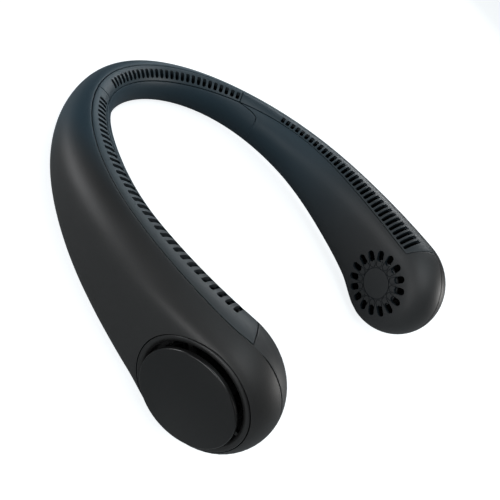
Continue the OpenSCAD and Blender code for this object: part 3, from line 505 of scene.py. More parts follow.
def opening_tree():
    """Geometry nodes: a cutter with rounded corners on each point, drawn out along and across its own direction."""
    tree = bpy.data.node_groups.get("Rounded cutters")
    if tree:
        return tree
    tree = bpy.data.node_groups.new("Rounded cutters", "GeometryNodeTree")
    face = tree.interface
    face.new_socket("Geometry", in_out="INPUT", socket_type="NodeSocketGeometry")
    for name in ("Width", "Corner", "Depth"):
        face.new_socket(name, in_out="INPUT", socket_type="NodeSocketFloat")
    face.new_socket("Material", in_out="INPUT", socket_type="NodeSocketMaterial")
    face.new_socket("Geometry", in_out="OUTPUT", socket_type="NodeSocketGeometry")
    given = add(tree, "NodeGroupInput")
    along, axis = [add(tree, "GeometryNodeInputNamedAttribute", {"Name": name}, data_type="FLOAT_VECTOR")
                   for name in ("along", "axis")]
    span, end, flank = [add(tree, "GeometryNodeInputNamedAttribute", {"Name": name}, data_type="FLOAT")
                        for name in ("span", "end", "flank")]
    drum = add(tree, "GeometryNodeMeshCylinder",
               {"Vertices": 20, "Radius": given.outputs["Corner"], "Depth": given.outputs["Depth"]}, fill_type="NGON")
    marked = add(tree, "GeometryNodeTransform", {"Geometry": drum.outputs["Mesh"], "Rotation": (0, 0, radians(9))})
    place = add(tree, "GeometryNodeInputPosition")
    split = add(tree, "ShaderNodeSeparateXYZ", {0: place.outputs[0]})
    for name, way in (("end", "Y"), ("flank", "X")):
        sign = add(tree, "ShaderNodeMath", {0: split.outputs[way]}, operation="SIGN")
        marked = add(tree, "GeometryNodeStoreNamedAttribute",
                     {"Geometry": marked.outputs[0], "Name": name, "Value": sign.outputs[0]},
                     data_type="FLOAT", domain="POINT")
    facing = add(tree, "FunctionNodeAxesToRotation",
                 {"Primary Axis": axis.outputs[0], "Secondary Axis": along.outputs[0]},
                 primary_axis="Z", secondary_axis="Y")
    copies = add(tree, "GeometryNodeInstanceOnPoints",
                 {"Points": given.outputs["Geometry"], "Instance": marked.outputs[0],
                  "Rotation": facing.outputs[0]})
    real = add(tree, "GeometryNodeRealizeInstances", {"Geometry": copies.outputs[0]})
    across = add(tree, "ShaderNodeVectorMath", {0: along.outputs[0], 1: axis.outputs[0]}, operation="CROSS_PRODUCT")
    shifts = []
    for way, whole, sign in ((along, span.outputs[0], end), (across, given.outputs["Width"], flank)):
        half = add(tree, "ShaderNodeMath", {0: whole, 1: 0.5}, operation="MULTIPLY")
        spare = add(tree, "ShaderNodeMath", {0: half.outputs[0], 1: given.outputs["Corner"]}, operation="SUBTRACT")
        signed = add(tree, "ShaderNodeMath", {0: spare.outputs[0], 1: sign.outputs[0]}, operation="MULTIPLY")
        shifts.append(add(tree, "ShaderNodeVectorMath", {0: way.outputs[0], "Scale": signed.outputs[0]},
                          operation="SCALE"))
    move = add(tree, "ShaderNodeVectorMath", {0: shifts[0].outputs[0], 1: shifts[1].outputs[0]}, operation="ADD")
    moved = add(tree, "GeometryNodeSetPosition", {"Geometry": real.outputs[0], "Offset": move.outputs[0]})
    coat = add(tree, "GeometryNodeSetMaterial",
               {"Geometry": moved.outputs[0], "Material": given.outputs["Material"]})
    add(tree, "NodeGroupOutput", {"Geometry": coat.outputs[0]})
    return tree


def openings(places, width, corner, depth):
    """Mesh of cutters with rounded corners, made by the geometry nodes. A place is the middle of an opening,
    the way in, the way along it and its span."""
    points, axes, alongs, spans = zip(*places)
    mesh = bpy.data.meshes.new("cutter_points")
    mesh.from_pydata([tuple(p) for p in points], [], [])
    for name, kind, field, values in (
            ("axis", "FLOAT_VECTOR", "vector", axes),
            ("along", "FLOAT_VECTOR", "vector", alongs),
            ("span", "FLOAT", "value", spans)):
        mesh.attributes.new(name, kind, "POINT").data.foreach_set(field, np.array(values, float).ravel())
    obj = new_object("cutter_points", mesh)
    mod = obj.modifiers.new("Openings", "NODES")
    mod.node_group = opening_tree()
    given = {i.name: i.identifier for i in mod.node_group.interface.items_tree if i.in_out == "INPUT"}
    mod[given["Width"]], mod[given["Corner"]], mod[given["Depth"]] = width, corner, depth
    # the walls of the openings take the painted shade
    mod[given["Material"]] = finish("slot_wall")
    settle(obj)
    out = obj.data
    bpy.data.objects.remove(obj)
    for name in ("axis", "along", "span", "end", "flank"):
        if name in out.attributes:
            out.attributes.remove(out.attributes[name])
    return out


# ---------------------------------------------------------------- finishes

def start(name):
    """A new material with its shader and the object's own coordinates."""
    material = bpy.data.materials.new(name)
    material.use_nodes = True
    tree = material.node_tree
    tree.nodes.clear()
    shader = add(tree, "ShaderNodeBsdfPrincipled")
    add(tree, "ShaderNodeOutputMaterial", {"Surface": shader.outputs[0]})
    spot = add(tree, "ShaderNodeTexCoord").outputs["Object"]
    return material, tree, shader, spot


def moulded(name, base, tone=None, roughness=0.5, grain=0.5, depth=0.02, gloss=0.5):
    """Moulded plastic with a spark-eroded mould texture: evenly satin, soft in its highlights.

    tone is the bluer colour it takes toward the rear, a painted bluish reflection; the grain and its depth are in
    millimetres, the grain drawn as coarse as it shows."""
    material, tree, shader, spot = start(name)
    cloud = add(tree, "ShaderNodeTexNoise", {"Vector": spot, "Scale": 1 / (38 * MM), "Detail": 3.0})
    grainy = add(tree, "ShaderNodeTexNoise", {"Vector": spot, "Scale": 1 / (grain * MM), "Detail": 2.0})
    fine = add(tree, "ShaderNodeTexVoronoi", {"Vector": spot, "Scale": 1 / (0.62 * grain * MM)})
    colour_with_painted_reflection = add(tree, "ShaderNodeMix", {6: (*base, 1), 7: (*(tone or base), 1)}, data_type="RGBA")
    if tone:
        split = add(tree, "ShaderNodeSeparateXYZ", {0: spot})
        # painted bluish reflection: it grows from the front to the rear, but not on the outside of the left arm
        rear = add(tree, "ShaderNodeMapRange", {0: split.outputs["Y"], 1: -52 * MM, 2: 48 * MM},
                   interpolation_type="SMOOTHSTEP")
        neck = add(tree, "ShaderNodeMapRange", {0: split.outputs["X"], 1: -90 * MM, 2: -72 * MM},
                   interpolation_type="SMOOTHSTEP")
        painted_reflection_mask = add(tree, "ShaderNodeMath", {0: rear.outputs[0], 1: neck.outputs[0]}, operation="MULTIPLY")
        tree.links.new(painted_reflection_mask.outputs[0], colour_with_painted_reflection.inputs[0])
    shade = add(tree, "ShaderNodeMapRange", {0: cloud.outputs[0], 1: 0.3, 2: 0.7, 3: 0.93, 4: 1.07})
    speck = add(tree, "ShaderNodeMapRange", {0: grainy.outputs[0], 1: 0.3, 2: 0.7, 3: 0.96, 4: 1.04})
    both = add(tree, "ShaderNodeMath", {0: shade.outputs[0], 1: speck.outputs[0]}, operation="MULTIPLY")
    tinted = add(tree, "ShaderNodeVectorMath", {0: colour_with_painted_reflection.outputs[2], "Scale": both.outputs[0]}, operation="SCALE")
    tree.links.new(tinted.outputs[0], shader.inputs["Base Color"])
    rough = add(tree, "ShaderNodeMapRange",
                {0: cloud.outputs[0], 1: 0.3, 2: 0.7, 3: roughness - 0.04, 4: roughness + 0.05})
    tree.links.new(rough.outputs[0], shader.inputs["Roughness"])
    mixed = add(tree, "ShaderNodeMath", {0: grainy.outputs[0], 1: fine.outputs[0]}, operation="ADD")
    bump = add(tree, "ShaderNodeBump", {"Height": mixed.outputs[0], "Distance": depth * MM, "Strength": 0.6})
    tree.links.new(bump.outputs[0], shader.inputs["Normal"])
    shader.inputs["IOR"].default_value = 1.53
    shader.inputs["Specular IOR Level"].default_value = gloss
    return material


def metal(name, base, roughness, scratch, stretch=(1, 1, 1)):
    """Bare metal: turned or drawn marks of the given spacing in millimetres in its roughness."""
    material, tree, shader, spot = start(name)
    run = add(tree, "ShaderNodeMapping", {"Vector": spot, "Scale": stretch})
    marks = add(tree, "ShaderNodeTexNoise", {"Vector": run.outputs[0], "Scale": 1 / (scratch * MM), "Detail": 4.0})
    rough = add(tree, "ShaderNodeMapRange",
                {0: marks.outputs[0], 1: 0.3, 2: 0.7, 3: roughness - 0.07, 4: roughness + 0.09})
    tint = add(tree, "ShaderNodeMapRange", {0: marks.outputs[0], 1: 0.25, 2: 0.75, 3: 0.88, 4: 1.05})
    shaded = add(tree, "ShaderNodeVectorMath", {0: base, "Scale": tint.outputs[0]}, operation="SCALE")
    bump = add(tree, "ShaderNodeBump", {"Height": marks.outputs[0], "Distance": 0.01 * MM, "Strength": 0.5})
    tree.links.new(shaded.outputs[0], shader.inputs["Base Color"])
    tree.links.new(rough.outputs[0], shader.inputs["Roughness"])
    tree.links.new(bump.outputs[0], shader.inputs["Normal"])
    shader.inputs["Metallic"].default_value = 1
    return material


def filmed(name, base, second, roughness, spacing, clear=0.0):
    """Film, lacquer or enamel over something wound or woven: two tones in fine bands."""
    material, tree, shader, spot = start(name)
    bands = add(tree, "ShaderNodeTexWave", {"Vector": spot, "Scale": 1 / (spacing * MM * 6), "Distortion": 0.6,
                                           "Detail": 1.0}, bands_direction="Z")
    cloud = add(tree, "ShaderNodeTexNoise", {"Vector": spot, "Scale": 1 / (9 * MM), "Detail": 2.0})
    mix = add(tree, "ShaderNodeMix", {0: bands.outputs[1], 6: (*base, 1), 7: (*second, 1)}, data_type="RGBA")
    rough = add(tree, "ShaderNodeMapRange", {0: cloud.outputs[0], 3: roughness - 0.08, 4: roughness + 0.08})
    bump = add(tree, "ShaderNodeBump", {"Height": bands.outputs[1], "Distance": 0.03 * MM, "Strength": 0.5})
    tree.links.new(mix.outputs[2], shader.inputs["Base Color"])
    tree.links.new(rough.outputs[0], shader.inputs["Roughness"])
    tree.links.new(bump.outputs[0], shader.inputs["Normal"])
    shader.inputs["Coat Weight"].default_value = clear
    return material


def finish(key):
    """The finish of that name, made once. A text in its row is a hex colour or the name of a panel colour."""
    make, name, *given = FINISHES[key]
    looks = [g if not isinstance(g, str) else linear(g) if g[0] == "#" else getattr(finish_colours(), g)
             for g in given]
    return bpy.data.materials.get(name) or make(name, *looks)


FINISHES = {
    # a matte textured shell that swallows most of the light, with a painted bluish reflection toward the rear
    "shell": (moulded, "moulded_abs_shell", "shell", "rear_tone", 0.5, 0.55, 0.018),
    # the softer wall that lies on the neck, with a painted bluish reflection toward the rear
    "inner": (moulded, "moulded_abs_inner", "inner", "rear_tone", 0.52, 0.6, 0.02),
    # strips read a little lighter and bluer than the shells, with a painted bluish reflection toward the rear
    "strip": (moulded, "moulded_abs_strip", "strip", "strip_tone", 0.5, 0.5, 0.008),
    # painted shade: the walls of slots, holes and engraved lines are near black, with a teal cast
    "slot_wall": (moulded, "moulded_abs_slot_wall", "slot_wall", None, 0.6, 0.6, 0.02),
    # smooth semi-gloss ring, whose mouth catches a thin highlight
    "ring": (moulded, "moulded_abs_ring", "ring", None, 0.42, 0.5, 0.01),
    # caps are finer-textured, with a broad dim reflection
    "cap": (moulded, "moulded_abs_cap", "cap", None, 0.34, 0.5, 0.008, 0.5),
    # the button is a shade lighter and finer in its grain
    "button": (moulded, "moulded_silicone_button", "button", None, 0.58, 0.4, 0.015),
    # dark nylon blades, slightly waxy
    "impeller": (moulded, "moulded_nylon_impeller", "#0f1011", None, 0.6, 0.7, 0.02, 0.3),
    # dark glass-filled nylon ducts, dull
    "duct": (moulded, "moulded_nylon_duct", "#161718", None, 0.65, 0.7, 0.03, 0.3),
    # heat-shrunk film on the cells, faintly glossy
    "film": (filmed, "shrink_film_cell", "#2f6fa8", "#2a659c", 0.3, 1.4, 0.4),
    # glass-epoxy board with solder mask, weave just visible
    "board": (filmed, "solder_masked_board", "#16492f", "#1b5638", 0.35, 0.5, 0.5),
    # enamelled copper, wound in fine turns
    "copper": (metal, "enamelled_copper", "#b86a35", 0.35, 0.5, (1, 1, 4)),
    # die-cast plate, grey and lightly blasted
    "alloy": (metal, "die_cast_aluminium", "#a4a7aa", 0.45, 0.6),
    # drawn steel with marks round the cup
    "steel": (metal, "drawn_steel_can", "#9c9fa3", 0.3, 0.4, (1, 1, 3)),
    # ground bearing steel, bright
    "bearing": (metal, "ground_bearing_steel", "#c4c7ca", 0.2, 0.3),
    # nickel-plated socket shell, bright with a soft blur
    "socket": (metal, "nickel_plated_steel", "#b9b8b3", 0.26, 0.5),
    # blackened steel screws, dark grey with fine marks
    "screw": (metal, "blackened_steel_screw", "#4b4c4f", 0.4, 0.3),
    # frosted acrylic light pipes, milky when unlit
    "light": (filmed, "frosted_acrylic_light", "#d9e4ea", "#cfdde5", 0.3, 2.0, 0.5),
    # wire sleeves in soft black PVC, a little shinier than the shells
    "sleeve": (filmed, "pvc_wire_sleeve", "#1d1e20", "#18191b", 0.45, 1.2),
    # glass-filled switch housing, dull black
    "switch": (moulded, "moulded_pbt_switch", "#1d1d1f", None, 0.5, 0.4, 0.015),
}
NODE_FINISHES = {
    "motor_plate": "alloy", "bearings": "bearing", "stator": "copper", "magnet_can": "steel", "shaft": "bearing",
    "impeller": "impeller", "scroll": "duct", "air_guide": "duct", "cell": "film", "circuit_board": "board",
    "power_switch": "switch", "switch_plunger": "switch", "usb_port": "socket", "light_pipes": "light",
    "loom": "sleeve", "screws": "screw",
}


# ---------------------------------------------------------------- pieces

SIDES = ((1, "right"), (-1, "left"))
SCREWS = (0.192, 0.404, 0.62)  # shell screws, as shares of the way from the rear to the pod
LIGHTS = (0.8, 1.05, 1.3)  # status lights, in lengths of the button from its middle
PORT_AT = (6.58 * MM, 11.457 * MM, -33 * MM)  # charging port, from the crest at the controls
STRIP_BLEND = 14 * MM  # run over which the slant of a strip's front end fades
COVER_BLEND = 18 * MM  # run over which the slant of the rear cover's end fades in the inner walls
GAP_FADE, GAP_LEFT = 5 * MM, 0.12  # the gap at the rear cover's end closes over this run to this share
END_STEP = 1.5 * MM  # from a piece's end to its first full-height place


def edge_steps(roll):
    """Distances from an edge where its rounding is sampled."""
    return np.array([0, 0.13, 0.5, 1.0]) * roll


def rolled(distance, roll):
    """How far the rounded edge lies below the face at that distance from it."""
    d = np.clip(distance, 0, roll)
    return roll - np.sqrt(np.maximum(roll * roll - (roll - d) ** 2, 0))


def between(form, s, low, high, count):
    """Angles across a piece from its low to its high seam, and the inset of its rounded edges."""
    gap, roll = form.size.seam_gap / 2, form.size.seam_roll
    steps, room = edge_steps(roll), 0.2 * (high - low)
    # each step keeps to a small part of the piece, so that the edges of a narrow piece don't cross
    start_a, stop_a = (np.stack([np.minimum(form.arc_angle(s, seam, gap + step), room * (0.4 + i / 6))
                                 for i, step in enumerate(steps)], -1) for seam in (low, high))
    first, last = low[..., None] + start_a, high[..., None] - stop_a[..., ::-1]
    inner = first[..., -1:] + (last[..., :1] - first[..., -1:]) * np.linspace(0, 1, count + 2)[1:-1]
    inset = rolled(np.concatenate([steps, np.full(count, roll), steps[::-1]]), roll)
    return np.concatenate([first, inner, last], -1), inset


def fitted(form, angle, place, edges):
    """The same angles spread anew between the seams at other places along the curve."""
    low, high = edges(place)
    start_a, stop_a = (form.arc_angle(place, seam, form.size.seam_gap / 2) for seam in (low, high))
    part = (angle - angle[:, :1]) / (angle[:, -1:] - angle[:, :1])
    return low + start_a + part * (high - stop_a - low - start_a)


def drawn(s, fixed, end, goal):
    """Shifts the places between a fixed one and the end in proportion, so that the end comes to its goal."""
    return np.where((s - fixed) * (end - fixed) > 0, fixed + (s - fixed) * (goal - fixed) / (end - fixed), s)


def both_sides(half):
    """Column of sides and row of places that run from the left arm over the rear to the right arm."""
    s = np.concatenate([-half[:0:-1], half])
    return np.where(s < 0, -1, 1)[:, None], np.abs(s)


def end_places(form, count=16):
    """Places that close the end of a pod, past its centre."""
    return form.pod + form.size.pod_half_h * np.sin(np.linspace(0, pi / 2, count + 1)[1:])


def plate(form, name, side, s, angle, inset, shift=0.0, cells=None):
    """Plate as thick as the wall under the skin, with its face inset at the edges."""
    faces = [form.skin(side, s, angle, depth, shift) for depth in (inset, form.size.wall)]
    if cells is None:
        cells = np.ones((len(angle) - 1, angle.shape[1] - 1), bool)
    return plate_mesh(name, *faces, cells)


def body_shell(form):
    side, s = both_sides(np.concatenate([np.linspace(0, form.pod, 105), end_places(form)]))
    angle, inset = between(form, s, form.seam_bottom(s), form.seam_top(s), 44)
    return plate(form, "body_shell", side, s[:, None], angle, inset, form.size.seam_gap / 2)


def shell_openings(form):
    """Cutters of the ring seats, the button, the lights and the port."""
    size = form.size
    seat = box(0, size.ring_r + size.seam_gap / 2, 4 * MM, 30 * MM)
    tools = [lathe_mesh("seat", seat, form.pod_frame(side)) for side, _ in SIDES]
    at, face = form.arm_frame(1, size.board_at), form.controls_face()
    hole = pill_outline(size.button_len + 2 * size.button_gap, size.button_w + 2 * size.button_gap)
    holes = [(hole, 0.0)]
    for reach in LIGHTS:
        mid, _ = form.centre(np.array(size.board_at + reach * size.button_len))
        spot = at.inverted() @ Vector(form.stand(1, mid[0], mid[1], np.array(0.0)))
        holes.append((circle(size.pipe_r + 0.1 * MM, 24), spot.y))
    for outline, shift in holes:
        tools.append(prism_mesh("hole", outline, face - 4 * MM, face + 4 * MM, form.controls_frame(shift)))
    port = pill_outline(size.usb_w + size.seam_gap, size.usb_h + size.seam_gap)
    tools.append(prism_mesh("port_hole", port, 0, 12 * MM, at @ Matrix.Translation(PORT_AT)))
    return joined("shell_openings", tools)


def cover_end(form, run):
    """Where the rear cover ends at each run below the strip, half the gap there along the curve, and how far
    the edges there are rounded: below the corner the gap closes up."""
    size = form.size
    left = np.clip(1 - run / size.cover_drop, 0, 1)
    open_part = np.clip(1 - (run - size.cover_drop) / GAP_FADE, GAP_LEFT, 1)
    slope = 2 * size.cover_nose / size.cover_drop * left
    spare = size.seam_gap / 2 * open_part * np.sqrt(1 + slope ** 2)
    return size.cover_len - size.cover_nose * left ** 2, spare, open_part


def low_columns(form, s, count):
    """Angles below the strip, with the run from the strip's edge down the wall."""
    low, high = form.wall_edges(s)
    angle, inset = between(form, s, low, high, count)
    base, wide, parts = np.minimum(s, form.pod), (high - low)[:, None], 59
    sweep = low[:, None] + wide * np.linspace(0, 1, parts + 1)
    step = np.hypot(form.half_w(base)[:, None] * np.sin(sweep), form.half_h(base)[:, None] * np.cos(sweep))
    step = step * wide / parts
    run = np.cumsum(step, 1) - step[:, :1]
    return angle, inset, np.stack([np.interp(a, g, r) for a, g, r in zip(angle, sweep, run)])


def rear_cover(form):
    size, end = form.size, form.size.cover_len
    side, s = both_sides(np.concatenate([np.linspace(0, end - 2 * MM, 40), end - edge_steps(size.seam_roll)[::-1]]))
    angle, inset, run = low_columns(form, s, 30)
    stop, spare, open_part = cover_end(form, run)
    place = drawn(s[:, None], 0.45 * end, end, stop - spare)
    angle = fitted(form, angle, place, form.wall_edges)
    inset = np.maximum(inset, rolled(end - s[:, None], size.seam_roll) * open_part)
    return plate(form, "rear_cover", side, place, angle, inset)


def inner_wall(form, side):
    """Inner wall of one arm: begins at the rear cover, and takes the rim of the pod past the strip's end."""
    cover, pod, gap, roll = form.size.cover_len, form.pod, form.size.seam_gap / 2, form.size.seam_roll
    steps = edge_steps(roll)
    rear = np.concatenate([cover + steps, np.linspace(cover + END_STEP, pod - 6 * MM, 60)])
    front = np.concatenate([pod + steps, pod + np.linspace(0.8 * MM, 13 * MM, 9), end_places(form, 20)[6:]])
    s, first = np.concatenate([rear, front]), len(rear)
    away = s[:, None]
    angle, inset, run = low_columns(form, s, 34)
    stop, spare, open_part = cover_end(form, run)
    place = drawn(away, cover + COVER_BLEND, cover, stop + spare)
    angle = np.where(away < cover + COVER_BLEND, fitted(form, angle, place, form.wall_edges), angle)
    # past the strip's end the low part has no upper edge, so its first columns lie at full height
    inset = np.maximum(inset, rolled(away - cover, roll) * open_part)
    inset[first:, :len(steps)] = 0
    # rim columns, from the top seam down to the low part's first column
    top, deep, count = form.seam_top(s)[:, None], form.half_h(np.minimum(s, pod))[:, None], 10
    begin = top + np.minimum(form.arc_angle(s, top[:, 0], gap)[:, None] + steps / deep, 0.3)
    wide = angle[:, :1] - begin[:, -1:]
    rim = np.concatenate([begin, begin[:, -1:] + wide * np.linspace(0, 1, count + 2)[1:-1]], 1)
    part = (rim - top) / (form.strip_side(place[:, :1]) - top)
    rim_s = drawn(away, pod + STRIP_BLEND, pod, pod + form.lead * (1 - part) + gap)
    rim_s[:first] = away[:first]
    rim_inset = rolled(np.concatenate([steps, np.full(count, roll)]), roll)
    rim_inset = np.maximum(rim_inset, rolled(away - pod, roll))
    cells = np.ones((len(s) - 1, rim.shape[1] + angle.shape[1] - 1), bool)
    cells[:first, :rim.shape[1]] = False
    rows = [np.concatenate(pair, 1) for pair in ((rim_s, place), (rim, angle), (rim_inset, inset))]
    return plate(form, "inner_wall", side, *rows, -gap, cells)


def grille_openings(form, side):
    """Cutters of the grille: the fine lines engraved inside, and the open capsules round them."""
    size, at = form.size, form.pod_frame(side)
    ways, span = at.to_3x3(), size.grille_r - size.grille_in_r
    mid, depth = (size.grille_r + size.grille_in_r) / 2, -0.72 * size.pod_half_w
    turns = 2 * pi * (np.arange(size.grille_slots) + 0.5) / size.grille_slots
    places = [(at @ Vector((mid * cos(t), mid * sin(t), depth)), ways @ Vector((0, 0, 1)),
               ways @ Vector((cos(t), sin(t), 0)), span) for t in turns]
    slots = openings(places, size.grille_w, size.grille_w / 2, 9 * MM)
    half = size.grille_w / 2 - size.groove_w / 2
    low, high = size.grille_hub_r + 0.5 * MM + half, size.grille_in_r + 0.42 * size.grille_w
    bow = [(low - half * sin(a), half * cos(a)) for a in np.linspace(0, pi, 13)]
    arch = [(high, half), *bow, (high, -half)]
    lines = []
    for path in (circle(size.grille_hub_r, 96), *(turned(arch, t) for t in turns)):
        face = form.pod_skin(*np.array(path).T, -1)
        low, high = face - 0.6 * MM, face + size.groove_deep
        lines.append(ribbon_mesh("groove", path, size.groove_w, low, high, at, not lines))
    return joined("engraving", lines), slots


def screw_openings(form, sides, on_cover):
    """Cutters of the counterbored screw holes on the underside, of the rear cover or of the inner walls."""
    size, wall, tools = form.size, form.size.wall, []
    head, neck = 2.1 * size.screw_r + 0.05 * MM, size.screw_r + 0.1 * MM
    for part in SCREWS:
        s = part * form.pod
        low = -2 * float(form.half_h(s))
        profile = [(0, low - wall), (head, low - wall), (head, low + 0.8 * wall), (neck, low + 0.8 * wall),
                   (neck, low + 3 * wall), (0, low + 3 * wall)]
        if (s < size.cover_len) == on_cover:
            tools += [lathe_mesh("screw_hole", profile, form.arm_frame(side, s), 32) for side in sides]
    return joined("screw_holes", tools)


def strip_piece(form, side, s, slanted):
    """A strip between the top seam and the inner wall: an arm's, slanted at its front end, or the rear one."""
    roll, away = form.size.seam_roll, s[:, None]
    low, high = form.strip_edges(s)
    angle, inset = between(form, s, low, high, 10)
    place, ends = away, rolled(away.max() - away, roll)
    if slanted:
        part = (angle - low[:, None]) / (high - low)[:, None]
        goal = form.pod + form.lead * (1 - part) - form.size.seam_gap / 2
        place = drawn(away, form.pod - STRIP_BLEND, form.pod, goal)
        angle = fitted(form, angle, place, form.strip_edges)
        ends = np.maximum(ends, rolled(away - away.min(), roll))
    return plate(form, "strip", side, place, angle, np.maximum(inset, ends))


def slot_cutters(form, runs):
    """Cutters of a row of slots, upright to the crest plane; runs on the left arm are negative."""
    places = []
    for run in runs:
        s = abs(run)
        at, span = form.arm_frame(1 if run >= 0 else -1, s), float(form.slot_l(s))
        middle = Vector((-float(form.slot_u(s)) - span / 2, 0, -0.18 * float(form.half_h(s))))
        places.append((at @ middle, at.to_3x3() @ Vector((0, 0, 1)), at.to_3x3() @ Vector((1, 0, 0)), span))
    return openings(places, form.size.slot_w, form.size.slot_round, 16 * MM)


def ring_mesh(form, side):
    """Intake ring: its face follows the pod's skin, and its mouth rounds down into the bore."""
    size, wall, at = form.size, form.size.wall, form.pod_frame(side)
    edge, bore, low = size.ring_r - size.seam_gap / 2, size.ring_bore_r, size.flange_low
    funnel = edge - 0.5 * MM - bore
    mouth = [(edge - d, -float(rolled(d, size.seam_roll))) for d in edge_steps(size.seam_roll)]
    mouth += [(bore + funnel * (1 - sin(a)), -size.ring_sink * (1 - cos(a))) for a in np.linspace(0, pi / 2, 12)]
    foot = [(bore, low), (size.flange_r, low), (size.flange_r, low + 0.7 * wall),
            (size.ring_r + wall / 4, low + 1.3 * wall), (edge, low + 1.6 * wall)]

    def height(x, y, z, k):
        return form.pod_skin(x, y, 1) + z if k < len(mouth) else np.full(len(x), z)

    low = size.ring_top - 1.8 * wall
    spoke = box(size.stem_r, bore + wall / 6, -wall / 2, wall / 2)
    hub = box(size.screw_r + 0.1 * MM, 2 * size.stem_r - wall / 2, low, low + wall)
    tools = [prism_mesh("spoke", turned(spoke, radians(a)), low, low + wall, at) for a in (30, 150, 270)]
    return joined("ring", [lathe_mesh("ring", mouth + foot, at, 144, height), *tools, lathe_mesh("hub", hub, at, 32)])


def cap_mesh(form, side):
    """Outer cap: straight rim, rounded edge and a slightly domed face, on its stem."""
    size, wall, stem, hole = form.size, form.size.wall, form.size.stem_r, form.size.screw_r
    low, foot = size.cap_rim_top - size.cap_rim_h, size.ring_top - 0.8 * size.wall
    r, bend = size.cap_r, size.cap_round

    def face(x):
        return size.cap_rim_top + size.cap_dome * (1 - (x / r) ** 2)

    edge = face(r - bend)
    profile = [(0, foot + 1.2 * wall), (hole, foot + 1.2 * wall), (hole, foot), (stem, foot), (stem, low),
               (stem + wall, low), (stem + wall, low + wall / 2), (r - wall, low + wall / 2), (r - wall, low),
               (r - wall / 6, low), (r, low + wall / 6)]
    profile += [(r - bend + bend * cos(a), edge - bend + bend * sin(a)) for a in np.linspace(0, pi / 2, 9)]
    profile += [(x, face(x)) for x in np.linspace(r - bend, 0, 16)[1:]]
    return lathe_mesh("cap", profile, form.pod_frame(side), 144)


def button_mesh(form):
    """Power button: pill with a flange inside the shell, a rounded edge and a shallow dish."""
    size, wall, at, face = form.size, form.size.wall, form.controls_frame(), form.controls_face()
    base, top, bend, dish = face - 1.9 * wall - size.button_gap / 3, face + size.button_proud, 0.5 * MM, 0.35 * MM
    rings = [(wall / 2, base), (wall / 2, base + wall / 2), (0, base + wall / 2), (0, top - bend)]
    rings += [(-bend * (1 - cos(a)), top - bend + bend * sin(a)) for a in np.linspace(0, pi / 2, 6)[1:]]
    rings += [(-size.button_w / 2 * q, top - dish * min(1, (q - 0.2) * 3)) for q in (0.3, 0.45, 0.6, 0.75, 0.93)]
    outlines = [pill_outline(size.button_len + 2 * grow, size.button_w + 2 * grow) for grow, _ in rings]
    points = [at @ Vector((x, y, z)) for outline, (_, z) in zip(outlines, rings) for x, y in outline]
    n, faces = len(outlines[0]), []
    for k in range(len(rings) - 1):
        faces += [(k * n + i, k * n + (i + 1) % n, (k + 1) * n + (i + 1) % n, (k + 1) * n + i) for i in range(n)]
    faces += [tuple(range(n - 1, -1, -1)), tuple(range(len(points) - n, len(points)))]
    return mesh_from("button", points, faces)


# ---------------------------------------------------------------- operators

def settle_piece(name, mesh, key, body, slot, *nodes, tools=()):
    """Makes a piece of its mesh and finish, cuts its openings one set after the other, ties it to its body and hides
    its CAD nodes. The slot is not used."""
    mesh.materials.append(finish(key))
    obj = new_object(name, mesh)
    for tool in tools:
        cut(obj, tool)
    obj.data.name = name
    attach(obj, body)
    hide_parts(*nodes)


class OBJECT_OT_neck_fan_shells(bpy.types.Operator):
    """Builds the outer shell, the inner walls with their grilles, and the rear cover"""
    bl_idname = "object.neck_fan_shells"
    bl_label = "Shells and Grilles"

    def execute(self, context):
        form = Form(sizes())
        settle_piece("outer_body", body_shell(form), "shell", "fan_frame", "outer_shell_plastic", "outer_shell",
                     tools=[shell_openings(form)])
        for side, name in SIDES:
            tools = [*grille_openings(form, side), screw_openings(form, [side], False)]
            settle_piece(name + "_inner_wall", inner_wall(form, side), "inner", "fan_frame", "inner_shell_plastic",
                         name + "_inner_shell", tools=tools)
        settle_piece("rear_cover", rear_cover(form), "inner", "fan_frame", "inner_shell_plastic",
                     "rear_inner_cover", tools=[screw_openings(form, (1, -1), True)])
        return {"FINISHED"}


class OBJECT_OT_neck_fan_strips(bpy.types.Operator):
    """Builds the air strips and cuts their rows of slots"""
    bl_idname = "object.neck_fan_strips"
    bl_label = "Air Strips"

    def execute(self, context):
        form, size = Form(sizes()), sizes()
        steps, gap, pod = edge_steps(size.seam_roll), size.seam_gap / 2, form.pod
        begin, stop = size.strip_join + gap, size.strip_join - gap
        arm = np.concatenate([begin + steps, np.linspace(begin + END_STEP, pod - STRIP_BLEND - 1 * MM, 70),
                              np.linspace(pod - STRIP_BLEND, pod - 1 * MM, 8), pod - steps[::-1]])
        rows = []
        for side, name in SIDES:
            plain, pitch, count = (getattr(size, name + part) for part in ("_plain", "_pitch", "_slots"))
            rows.append((name, side, arm, [side * (size.strip_join + plain + i * pitch) for i in range(count)]))
        side, rear = both_sides(np.concatenate([np.linspace(0, stop - END_STEP, 40), stop - steps[::-1]]))
        half = (size.rear_slots - 1) / 2
        rows.append(("rear", side, rear, [size.rear_shift + (i - half) * size.rear_pitch
                                          for i in range(size.rear_slots)]))
        for name, side, s, runs in rows:
            settle_piece(name + "_strip", strip_piece(form, side, s, name != "rear"), "strip", "fan_frame",
                         "strip_plastic", name + "_vent_strip", tools=[slot_cutters(form, runs)])
        return {"FINISHED"}


class OBJECT_OT_neck_fan_intakes(bpy.types.Operator):
    """Builds the intake rings and the outer caps"""
    bl_idname = "object.neck_fan_intakes"
    bl_label = "Intake Rings and Caps"

    def execute(self, context):
        form = Form(sizes())
        for side, name in SIDES:
            settle_piece(name + "_ring", ring_mesh(form, side), "ring", "fan_frame", "ring_plastic",
                         name + "_intake_ring")
            settle_piece(name + "_outer_cap", cap_mesh(form, side), "cap", "fan_frame", "cap_plastic", name + "_cap")
        return {"FINISHED"}


class OBJECT_OT_neck_fan_controls(bpy.types.Operator):
    """Builds the power button"""
    bl_idname = "object.neck_fan_controls"
    bl_label = "Controls"

    def execute(self, context):
        settle_piece("thumb_button", button_mesh(Form(sizes())), "button", "button", "button_plastic", "power_button")
        return {"FINISHED"}


